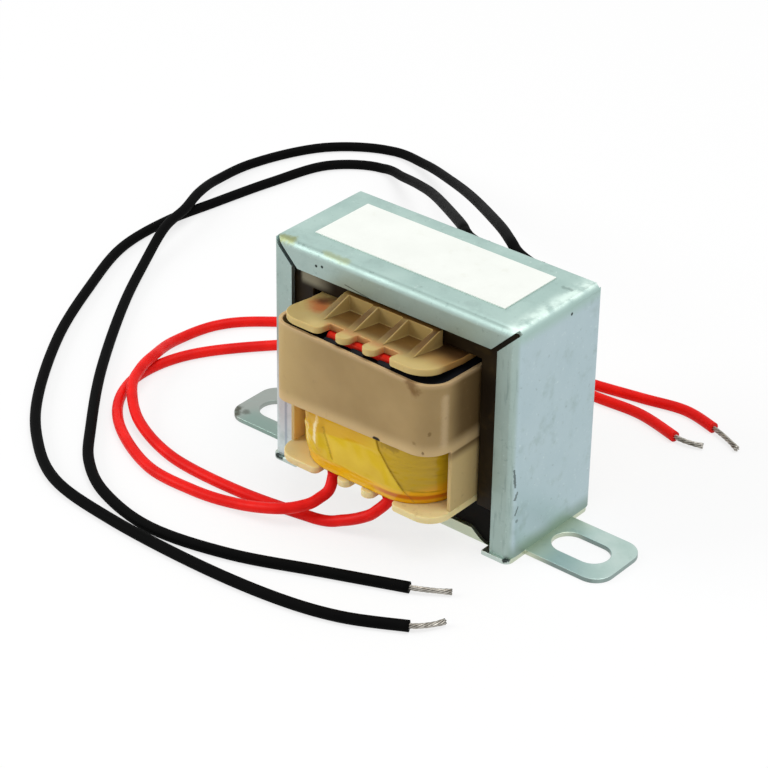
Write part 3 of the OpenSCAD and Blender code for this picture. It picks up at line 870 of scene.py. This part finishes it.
@dataclass(frozen=True)
class EdgeBreak:
    """Breaks a solid's sharp edges by modifiers, which leave its own mesh as it is.

    Attributes:
        width: Width of the broken edge.
        segments: Faces across it.
        sharp_deg: The least angle that counts as sharp.
        weld: Distance under which the solid's split corners are joined.
        flat_deg: The angle under which neighbouring faces count as one.
        empty: Width under which a face of the broken edge is left out.
        weight: How much more a large face counts than a small one in a corner's shading.
    """

    width: float
    segments: int = 2
    sharp_deg: float = 32.0
    weld: float = 0.0005
    flat_deg: float = 0.6
    empty: float = 0.001
    weight: int = 80

    def apply(self, solid: bpy.types.Object) -> None:
        """Adds the modifiers to a solid.

        Args:
            solid: The solid.
        """
        solid.modifiers.new("joined", "WELD").merge_threshold = self.weld * MM
        flat = solid.modifiers.new("flats", "DECIMATE")
        flat.decimate_type = "DISSOLVE"
        flat.angle_limit = math.radians(self.flat_deg)
        edge = solid.modifiers.new("edges", "BEVEL")
        edge.width = self.width * MM
        edge.segments = self.segments
        edge.limit_method = "ANGLE"
        edge.angle_limit = math.radians(self.sharp_deg)
        edge.miter_outer = "MITER_ARC"
        solid.modifiers.new("cleaned", "WELD").merge_threshold = self.empty * MM
        solid.modifiers.new("shading", "WEIGHTED_NORMAL").weight = self.weight


Dress = tuple[tuple[str, Finish], ...]


@dataclass(frozen=True, kw_only=True)
class Assembly:
    """Solids that belong together, by name, and the finish of each.

    Attributes:
        edge: How edges are broken.
        broken: The solids whose edges are broken.
        plain: Those whose edges stay as they are.
    """

    edge: EdgeBreak
    broken: Dress
    plain: Dress = ()

    def dress(self, solids: dict[str, bpy.types.Object]) -> list[bpy.types.Object]:
        """Gives the solids their finishes.

        Args:
            solids: The frame's solids by name.

        Returns:
            The solids that are dressed.
        """
        for name, finish in self.broken + self.plain:
            finish.dress(solids[name])
        for name, _ in self.broken:
            self.edge.apply(solids[name])
        return [solids[name] for name, _ in self.broken + self.plain]


@dataclass(frozen=True, kw_only=True)
class Housing(Assembly):
    """The folded cover, the base plate under it and the label on it."""

    edge: EdgeBreak = EdgeBreak(0.12)
    broken: Dress = (("cover", COVER_ZINC), ("base_plate", PLATE_ZINC))
    plain: Dress = (("label", LABEL_FILM),)


@dataclass(frozen=True, kw_only=True)
class Core(Assembly):
    """The stack of E-shaped sheets and the bars that close it."""

    edge: EdgeBreak = EdgeBreak(0.08)
    broken: Dress = (("e_laminations", SHEET_STACK), ("closing_bars", BAR_STACK))


@dataclass(frozen=True)
class Crease:
    """A crease in the tape, between two places on it.

    Attributes:
        start: Distance to the left from the front's middle, and height, where it starts.
        end: The same where it ends.
        width: How far it reaches to each side.
        depth: How far it stands out, or in if below nought.
    """

    start: tuple[float, float]
    end: tuple[float, float]
    width: float
    depth: float

    def relief(self, along: float, height: float) -> float:
        """Gives how far the crease lifts the tape at a place.

        Args:
            along: Distance from the front's middle to the left.
            height: Height above the floor.

        Returns:
            The distance.
        """
        first, reach = Vector(self.start), Vector(self.end) - Vector(self.start)
        away = Vector((along, height)) - first
        share = min(max(away.dot(reach) / reach.length_squared, 0.0), 1.0)
        return self.depth * eased(1 - (away - reach * share).length / self.width)


@dataclass(frozen=True)
class TapeWrap:
    """The yellow tape, wound once round the lower winding, its end stuck down on the front.

    Attributes:
        half_x: Half the width of the taped winding.
        half_y: Half its length from front to back.
        corner: Corner radius.
        low: Height of the tape's lower edge.
        high: Height of its upper edge.
        thickness: Depth of the wrap at its edges.
        bulge: How far the middle stands out from the edges.
        panel: Heights between which the tape lies flat.
        tilt: How much the upper of them falls for each unit to the left, across the front.
        tilt_reach: How far from the front's middle that goes on.
        turn_in: Height over which it turns in beyond them.
        lap: How far the outer end stands off the turn below it.
        lap_low: Share of that at the lower edge.
        lap_rise: Height over which it grows to the whole.
        end_along: Where the outer end lies at the level of the panel's middle.
        end_slant: How much further left it lies for each unit of height.
        creases: The creases.
        ripple: Depth of the fine wrinkles beside the outer end.
        ripple_span: Shares of the way round: where they start, come in over and die out over.
        ripple_turn: How far their wave turns for each unit of height, in radians.
        ripple_stray: How far it strays, in radians, and over what length.
        uneven: Depth of the tape's unevenness.
        uneven_mm: Size of that.
        uneven_seed: Which stretch of the noise it is taken from.
        columns: Faces along the tape.
        rows: Faces up it.
    """

    half_x: float = 10.4
    half_y: float = 14.1
    corner: float = 6.0
    low: float = 6.55
    high: float = 16.25
    thickness: float = 0.15
    bulge: float = 0.34
    panel: tuple[float, float] = (8.3, 12.3)
    tilt: float = 0.137
    tilt_reach: float = 5.0
    turn_in: float = 1.7
    lap: float = 0.16
    lap_low: float = 0.2
    lap_rise: float = 0.8
    end_along: float = -5.6
    end_slant: float = 0.7
    creases: tuple[Crease, ...] = (
        Crease((4.7, 12.6), (3.2, 8.6), 0.45, -0.14),
        Crease((5.5, 13.3), (5.3, 9.7), 0.9, 0.28),
        Crease((7.6, 12.0), (6.6, 10.0), 0.5, 0.08),
        Crease((8.0, 10.2), (5.4, 9.0), 0.45, -0.07),
        Crease((7.4, 9.0), (5.6, 8.4), 0.4, 0.06),
        Crease((9.4, 12.3), (7.3, 12.0), 0.4, 0.16),
        Crease((9.0, 10.9), (7.0, 10.6), 0.35, 0.13),
        Crease((1.8, 12.9), (-3.8, 12.8), 0.5, 0.05),
        Crease((4.6, 8.4), (-3.0, 8.3), 0.5, 0.05),
        Crease((-7.0, 8.6), (-13.0, 8.5), 0.5, 0.06),
        Crease((-6.2, 11.6), (-10.5, 11.4), 0.35, -0.06),
        Crease((-6.4, 10.6), (-9.2, 10.5), 0.3, 0.05),
        Crease((-7.6, 9.9), (-11.0, 9.6), 0.35, -0.05),
    )
    ripple: float = 0.035
    ripple_span: tuple[float, float, float] = (0.84, 0.05, 0.02)
    ripple_turn: float = 7.5
    ripple_stray: tuple[float, float] = (3.0, 2.0)
    uneven: float = 0.03
    uneven_mm: float = 1.6
    uneven_seed: float = 4.0
    columns: int = 320
    rows: int = 56

    def flats(self) -> tuple[float, ...]:
        """Gives the lengths of the straight stretches, to the left from the front's middle."""
        wide, deep = self.half_x - self.corner, self.half_y - self.corner
        return wide, 2 * deep, 2 * wide, 2 * deep, wide

    def round_length(self) -> float:
        """Gives the length once round the taped winding."""
        return sum(self.flats()) + 2 * math.pi * self.corner

    def outline(self, along: float) -> tuple[Vector, Vector]:
        """Follows the wrap's plan.

        Args:
            along: Distance from the front's middle to the left.

        Returns:
            The place in plan and the direction outwards there.
        """
        left = along % self.round_length()
        place, out, ahead = Vector((0, -self.half_y)), Vector((0, -1)), Vector((-1, 0))
        quarter = Matrix.Rotation(-math.pi / 2, 2)
        bend = self.corner * math.pi / 2
        for flat in self.flats():
            if left <= flat:
                return place + ahead * left, out
            left -= flat
            middle = place + ahead * flat - out * self.corner
            if left <= bend:
                turned = Matrix.Rotation(-left / self.corner, 2) @ out
                return middle + turned * self.corner, turned
            left -= bend
            out, ahead = quarter @ out, quarter @ ahead
            place = middle + out * self.corner
        return place, out

    def relief(self, along: float, height: float, share: float) -> float:
        """Gives how far the tape stands out from its edges' outline.

        Args:
            along: Distance from the front's middle to the left.
            height: Height above the floor.
            share: How far round from the outer end the place is, from nought to one.

        Returns:
            The distance.
        """
        near = along if along < self.round_length() / 2 else along - self.round_length()
        low, high = self.panel
        high -= self.tilt * min(max(near, -self.tilt_reach), self.tilt_reach)
        under, over = (low - height) / self.turn_in, (height - high) / self.turn_in
        out = self.bulge * (1 - eased(under) - eased(over))
        risen = eased((height - low + self.lap_rise / 2) / self.lap_rise)
        out += self.lap * (1 - share) * (self.lap_low + (1 - self.lap_low) * risen)
        out += sum(crease.relief(near, height) for crease in self.creases)
        start, coming, going = self.ripple_span
        wrinkled = eased((share - start) / coming) * eased((1 - share) / going)
        stray, length = self.ripple_stray
        turn = self.ripple_turn * height
        turn += stray * noise.noise(Vector((near / length, height, 0)))
        out += self.ripple * wrinkled * math.sin(turn)
        spot = (near / self.uneven_mm, height / self.uneven_mm, self.uneven_seed)
        return out + self.uneven * noise.noise(Vector(spot))

    def build(self) -> bpy.types.Object:
        """Makes the wrap as a closed band.

        Returns:
            The piece.
        """
        mesh = bmesh.new()
        middle = sum(self.panel) / 2
        outer, inner = [], []
        for row in range(self.rows + 1):
            height = self.low + (self.high - self.low) * row / self.rows
            start = self.end_along + self.end_slant * (height - middle)
            line = []
            for column in range(self.columns + 1):
                share = column / self.columns
                along = (start + share * self.round_length()) % self.round_length()
                place, out = self.outline(along)
                spot = place + out * self.relief(along, height, share)
                line.append(mesh.verts.new(metres((*spot, height))))
            outer.append(line)
            if row in (0, self.rows):
                back = []
                for column in range(self.columns):
                    place, out = self.outline(start + column / self.columns * self.round_length())
                    back.append(mesh.verts.new(metres((*(place - out * self.thickness), height))))
                inner.append(back + back[:1])
        for below, above in zip(outer, outer[1:]):
            for c in range(self.columns):
                mesh.faces.new((below[c], below[c + 1], above[c + 1], above[c])).smooth = True
            mesh.faces.new((below[-1], below[0], above[0], above[-1]))
        (low, high), foot, head = inner, outer[0], outer[-1]
        for c in range(self.columns):
            mesh.faces.new((low[c + 1], low[c], high[c], high[c + 1])).smooth = True
            mesh.faces.new((foot[c + 1], foot[c], low[c], low[c + 1]))
            mesh.faces.new((head[c], head[c + 1], high[c + 1], high[c]))
        mesh.faces.new((foot[0], foot[-1], low[0]))
        mesh.faces.new((head[-1], head[0], high[0]))
        return to_piece(mesh, "yellow_tape_wrap", "lower_tape")


@dataclass(frozen=True)
class WrapEdge:
    """The black wrap's rolled upper edge, where it shows in the front notches of the top flange.

    Attributes:
        y: Where the roll lies from front to back.
        foot: Height of the wrap that it stands on.
        radius: The roll's radius.
        notches: Left and right end of the roll in each notch.
        sway: How far it strays from front to back.
        seed: Which stretch of the noise that is taken from.
        steps: Stretches along each roll.
        sides: Faces round it.
    """

    y: float = -13.86
    foot: float = 23.4
    radius: float = 0.4
    notches: tuple[tuple[float, float], ...] = ((-5.0, -3.0), (-0.95, 0.95), (3.0, 5.0))
    sway: float = 0.08
    seed: float = 2.0
    steps: int = 12
    sides: int = 14

    def build(self) -> bpy.types.Object:
        """Makes the roll in all the notches.

        Returns:
            The piece.
        """
        mesh = bmesh.new()
        for left, right in self.notches:
            line = []
            for step in range(self.steps + 1):
                x = left + (right - left) * step / self.steps
                sway = self.sway * noise.noise(Vector((x, 0.0, self.seed)))
                line.append(Vector((x, self.y + sway, self.foot + self.radius)))
            add_tube(mesh, line, self.radius, self.sides)
        return to_piece(mesh, "upper_wrap_edge")


@dataclass(frozen=True, kw_only=True)
class Coil(Assembly):
    """The coil former, its sleeve, the windings and what is wrapped round them.

    Attributes:
        tape: The tape round the lower winding.
        wrap_edge: The upper edge of the wrap round the upper winding.
    """

    edge: EdgeBreak = EdgeBreak(0.12, 3)
    broken: Dress = (("coil_former", FORMER_NYLON), ("winding_sleeve", SLEEVE_NYLON))
    plain: Dress = (
        ("upper_winding", COPPER_TURNS), ("lower_winding", COPPER_TURNS),
        ("upper_wrap", BLACK_WRAP), ("joint_sleeve", RED_SLEEVING),
    )
    tape: TapeWrap = TapeWrap()
    wrap_edge: WrapEdge = WrapEdge()

    def build(self) -> list[bpy.types.Object]:
        """Makes the tape and the wrap's edge.

        Returns:
            The two pieces.
        """
        tape, wrap_edge = self.tape.build(), self.wrap_edge.build()
        YELLOW_TAPE.dress(tape)
        BLACK_WRAP.dress(wrap_edge)
        return [tape, wrap_edge]


@dataclass(frozen=True)
class Lead:
    """A free lead: an insulated wire and its bare, twisted end.

    Attributes:
        name: Name of the lead's solid.
        jacket: Its insulation.
        route: The points that the wire passes through.
        tip: Where the bare end's tip lies.
        diameter: Diameter over the insulation.
        steps: Rings for each stretch between two points of the route.
        sides: Faces round the insulation.
        bundle: Diameter of the bare end.
        strands: Strands round the middle one.
        across: Strands side by side across the bundle.
        lay: Length of one turn of the strands.
        hidden: How far the bare strands reach back into the insulation.
        straight: Share of the bare end over which it keeps the wire's direction.
        splay: How much further apart the strands are at the tip.
        splay_from: Share of the bare end where they start to part.
        strand_steps: Stretches along each strand.
        strand_sides: Faces round it.
    """

    name: str
    jacket: Jacket
    route: tuple[Point, ...]
    tip: Point
    diameter: float = 1.4
    steps: int = 8
    sides: int = 16
    bundle: float = 0.65
    strands: int = 6
    across: int = 3
    lay: float = 4.2
    hidden: float = 0.8
    straight: float = 0.4
    splay: float = 0.3
    splay_from: float = 0.75
    strand_steps: int = 26
    strand_sides: int = 8

    def curve(self) -> list[Vector]:
        """Draws a smooth line through the route's points, on or above the floor.

        Returns:
            The middles of the wire's rings.
        """
        knots = [Vector(p) for p in self.route]
        knots = [knots[0], *knots, knots[-1]]
        line = []
        # Each stretch is a Catmull-Rom curve, whose own numbers stand here
        for a, b, c, d in zip(knots, knots[1:], knots[2:], knots[3:]):
            for step in range(self.steps):
                t = step / self.steps
                swing = 2 * a - 5 * b + 4 * c - d + (3 * (b - c) + d - a) * t
                line.append(b + (c - a + swing * t) * t / 2)
        line.append(knots[-1])
        for spot in line:
            spot.z = max(spot.z, self.diameter / 2)
        return line

    def build(self) -> bpy.types.Object:
        """Makes the insulated wire.

        Returns:
            The wire.
        """
        mesh = bmesh.new()
        add_tube(mesh, self.curve(), self.diameter / 2, self.sides)
        return to_piece(mesh, self.name + "_wire", self.name)

    def twist(self) -> bpy.types.Object:
        """Makes the bare end as a bundle of strands laid round each other.

        Returns:
            The bare end.
        """
        last, end = self.curve()[-2:]
        ahead, tip = (end - last).normalized(), Vector(self.tip)
        start = end - ahead * self.hidden
        bend = end + ahead * (tip - end).length * self.straight
        radius = self.bundle / (2 * self.across)
        mesh = bmesh.new()
        for strand in range(self.strands + 1):
            line = []
            for step in range(self.strand_steps + 1):
                t = step / self.strand_steps
                here = start.lerp(bend, t).lerp(bend.lerp(tip, t), t)
                heading = (bend - start).lerp(tip - bend, t).normalized()
                side = heading.cross(Vector(Way.UP.value)).normalized()
                turn = 2 * math.pi * (strand / self.strands + t * (tip - start).length / self.lay)
                out = side * math.cos(turn) + side.cross(heading) * math.sin(turn)
                parted = eased((t - self.splay_from) / (1 - self.splay_from))
                spread = 2 * radius * (1 + self.splay * parted)
                line.append(here if strand == self.strands else here + out * spread)
            add_tube(mesh, line, radius, self.strand_sides)
        bare = self.name.replace("_lead_", "_strands_")
        return to_piece(mesh, bare + "_twisted", bare)

    def declare(self, wire: bpy.types.Object, bare: bpy.types.Object) -> None:
        """Works out the wire's middle line in metres, which is then left unused.

        Args:
            wire: The insulated wire; not used.
            bare: Its bare end; not used.
        """
        path = [metres(spot) for spot in self.curve()]


JACKETS = {Jacket.BLACK: BLACK_PVC, Jacket.RED: RED_PVC}
LEADS = (
    Lead(
        "black_lead_a", Jacket.BLACK,
        (
            (4.0125, 12.95, 24.1), (4.0125, 13.7, 24.45), (4, 14.6, 24.6), (3.8, 15.6, 24.4),
            (3.1, 16.7, 23.6), (1.7, 17.4, 23.1), (0, 17.8, 23.15), (-1.8, 18.3, 23.45),
            (-4.3, 20.1, 23.5), (-11.3, 27.1, 20.5), (-30.4, 46.6, 10.5), (-43.5, 58.3, 4.5),
            (-53, 64.6, 1.5), (-60.9, 66, 0.7), (-68.9, 60.4, 0.7), (-73.2, 50.1, 0.7),
            (-73, 41.5, 1.2), (-70.8, 35.1, 2.2), (-68.6, 29.7, 2.3), (-67, 24, 2.2),
            (-63.6, 16.5, 1.1), (-57.6, 6, 0.7), (-47.8, -8.1, 0.7), (-38.9, -18.9, 0.7),
            (-33.5, -24.6, 0.7), (-27, -28.4, 0.7), (-17.8, -30.2, 0.7), (-7.2, -28.2, 0.7),
            (3.2, -23.9, 0.7), (12.9, -19.8, 0.7),
        ),
        (16.92, -17.12, 0.5),
    ),
    Lead(
        "black_lead_b", Jacket.BLACK,
        (
            (-4.0125, 12.95, 24.1), (-4.0125, 13.7, 24.45), (-4.1, 14.6, 24.6), (-4.4, 15.6, 24.4),
            (-5.3, 16.6, 23.65), (-6.8, 17.2, 23.25), (-8.4, 17.6, 23.3), (-9.8, 18.3, 23.4),
            (-13.6, 22, 22), (-33, 41.9, 11.5), (-42.8, 50.9, 6.5), (-51.5, 57.7, 2.5),
            (-58, 60.7, 0.7), (-64.6, 56.1, 0.7), (-67.2, 46.7, 0.7), (-69, 36.1, 0.7),
            (-70.2, 27.2, 0.7), (-69.3, 17.6, 0.7), (-64.8, 7, 0.7), (-58.5, -5, 0.7),
            (-50, -17, 0.7), (-42.6, -24.6, 0.7), (-33.9, -30.1, 0.7), (-23, -31.9, 0.7),
            (-9.2, -32.2, 0.7), (2.3, -31.3, 0.7), (10.5, -29.3, 0.7), (17.6, -25.6, 0.7),
        ),
        (19.89, -22.11, 0.5),
    ),
    Lead(
        "red_lead_a", Jacket.RED,
        (
            (-4.175, -13.25, 6.3), (-4.175, -13.25, 5.4), (-3.8, -14.4, 4.2), (-4.3, -15.4, 3.4),
            (-5, -17, 2.9), (-7.5, -18.9, 2.2), (-12.8, -20.1, 1.1), (-19.1, -21, 0.7),
            (-27, -20.8, 0.7), (-35.5, -16.9, 0.7), (-40.9, -11.8, 0.7), (-43.3, -5.4, 0.7),
            (-41.9, 2.3, 0.7), (-36, 10.5, 0.7), (-28, 18, 0.7), (-17, 24.3, 0.7),
            (-5, 27.6, 0.7), (5, 28.3, 0.7), (11.1, 28.5, 0.7), (17.3, 26.9, 0.7),
        ),
        (20.98, 27.68, 0.5),
    ),
    Lead(
        "red_lead_b", Jacket.RED,
        (
            (4.175, -13.25, 6.3), (4.175, -13.25, 5.4), (3.3, -14, 4.2), (2, -14.4, 3),
            (-0.8, -15.2, 1.6), (-4.5, -16.1, 0.7), (-14.8, -17.6, 0.7), (-25.8, -17.4, 0.7),
            (-34.4, -14.7, 1.2), (-40, -10.4, 2.1), (-42.3, -6.5, 2.3), (-43.5, -2.8, 2.2),
            (-45.5, 3.4, 1), (-44.3, 10.7, 0.7), (-38.9, 16.4, 0.7), (-29, 22.8, 0.7),
            (-15, 28, 0.7), (0, 30.2, 0.7), (8.6, 31.8, 0.7), (14.7, 33, 0.7), (19.8, 31.8, 0.7),
        ),
        (24.55, 29.85, 0.5),
    ),
)


def seen_share(tree: bpy.types.NodeTree, most: float) -> bpy.types.Node:
    """Tells the rays that the camera, mirrors and glass send from those that only carry light.

    Args:
        tree: The floor's or the world's tree.
        most: The share for a ray that is seen.

    Returns:
        The node that gives the share.
    """
    ray = add_node(tree, Kind.RAY).outputs
    straight = {0: ray["Is Camera Ray"], 1: ray["Is Glossy Ray"]}
    seen = {0: add_node(tree, Kind.MATH, straight, operation="ADD"), 1: ray["Is Transmission Ray"]}
    share = add_node(tree, Kind.MATH, seen, operation="ADD", use_clamp=True)
    return add_node(tree, Kind.MATH, {0: share, 1: most}, operation="MULTIPLY")


@dataclass(frozen=True)
class Lamp:
    """A soft square lamp that looks at the object.

    Attributes:
        name: Its name.
        spot: Where it hangs.
        size: Length of its side.
        power: Its power in watts.
    """

    name: str
    spot: Point
    size: float
    power: float

    def hang(self) -> None:
        """Puts the lamp in the scene."""
        data = bpy.data.lights.new(self.name, "AREA")
        data.energy, data.size = self.power, self.size * MM
        lamp = put(self.name, data)
        lamp.location = metres(self.spot)
        lamp.rotation_euler = (-metres(self.spot)).to_track_quat("-Z", "Y").to_euler()


@dataclass(frozen=True)
class Studio:
    """A pale floor, soft light and the camera.

    Attributes:
        azimuth: How far the camera stands round to the right of the front, in degrees.
        elevation: How far it looks down, in degrees.
        roll: How far it is tipped, in degrees.
        distance: How far it stands from the point that it looks at.
        look_at: That point.
        lens: Focal length on a picture of the given width.
        picture_w: Width of that picture.
        clip: The nearest and the furthest thing that it sees.
        paper: Colour of the floor.
        paper_glow: Share of plain white in the floor as it is seen.
        floor_half: Half the floor's width.
        sky: Strength of the light from all round.
        sky_seen: Strength of the plain white that is seen in its place.
        lamps: The lamps.
    """

    azimuth: float = 39.18
    elevation: float = 30.764
    roll: float = 0.918
    distance: float = 330.368
    look_at: Point = (-7.471, 0.0, 10.751)
    lens: float = 128.43
    picture_w: float = 36.0
    clip: tuple[float, float] = (10.0, 20000.0)
    paper: str = "#FAFAFA"
    paper_glow: float = 0.75
    floor_half: float = 3000.0
    sky: float = 0.5
    sky_seen: float = 1.0
    lamps: tuple[Lamp, ...] = (
        Lamp("overhead", (150.0, 60.0, 720.0), 500.0, 2.6),
        Lamp("window", (-470.0, -400.0, 320.0), 320.0, 1.8),
    )

    def camera(self) -> None:
        """Sets up the camera where the photograph was taken from."""
        a, e, r = (math.radians(x) for x in (self.azimuth, self.elevation, self.roll))
        back = Vector((math.sin(a) * math.cos(e), -math.cos(a) * math.cos(e), math.sin(e)))
        level = Vector((math.cos(a), math.sin(a), 0))
        above = back.cross(level)
        right = level * math.cos(r) + above * math.sin(r)
        up = above * math.cos(r) - level * math.sin(r)
        data = bpy.data.cameras.new("camera")
        data.lens, data.sensor_width = self.lens, self.picture_w
        data.clip_start, data.clip_end = (end * MM for end in self.clip)
        camera = put("camera", data)
        turned = Matrix((right, up, back)).transposed().to_4x4()
        spot = metres(self.look_at) + back * self.distance * MM
        camera.matrix_world = Matrix.Translation(spot) @ turned
        bpy.context.scene.camera = camera

    def floor(self) -> None:
        """Lays the pale floor, which keeps the object's shadow."""
        material = bpy.data.materials.new("matt_white_paper_backdrop")
        tree = bare_tree(material)
        paper = add_node(tree, Kind.DIFFUSE, {"Color": linear(self.paper)})
        glow = add_node(tree, Kind.GLOW, {"Strength": 1.0})
        either = {0: seen_share(tree, self.paper_glow), 1: paper, 2: glow}
        add_node(tree, Kind.SURFACE, {0: add_node(tree, Kind.EITHER, either)})
        half = self.floor_half * MM
        data = bpy.data.meshes.new("floor")
        corners = [(-half, -half, 0), (half, -half, 0), (half, half, 0), (-half, half, 0)]
        data.from_pydata(corners, [], [(0, 1, 2, 3)])
        data.materials.append(material)
        floor = put("floor", data)

    def light(self) -> None:
        """Sets the soft light all round, which is seen as white, and hangs the lamps."""
        world = bpy.data.worlds.new("soft_studio")
        bpy.context.scene.world = world
        tree = bare_tree(world)
        soft, white = (
            add_node(tree, Kind.BACKGROUND, {"Color": WHITE, "Strength": strength})
            for strength in (self.sky, self.sky_seen)
        )
        either = {0: seen_share(tree, 1.0), 1: soft, 2: white}
        add_node(tree, Kind.WORLD, {0: add_node(tree, Kind.EITHER, either)})
        for lamp in self.lamps:
            lamp.hang()


def main() -> None:
    """Loads the solids, dresses them and sets the stage."""
    logging.basicConfig(level=logging.INFO, format="%(name)s: %(message)s")
    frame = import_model()
    bpy.context.scene.view_settings.view_transform = "Standard"
    solids = frame["nodes"]
    housing, core, coil = Housing(), Core(), Coil()
    pieces = housing.dress(solids) + core.dress(solids) + coil.build() + coil.dress(solids)
    for piece in pieces:
        LOG.info("%s dressed", piece.name)
    for lead in LEADS:
        wire, bare = lead.build(), lead.twist()
        JACKETS[lead.jacket].dress(wire)
        TINNED_STRANDS.dress(bare)
        lead.declare(wire, bare)
        LOG.info("%s and %s laid", wire.name, bare.name)
    studio = Studio()
    studio.camera()
    studio.floor()
    studio.light()
    LOG.info("stage set")


if __name__ == "__main__":
    main()
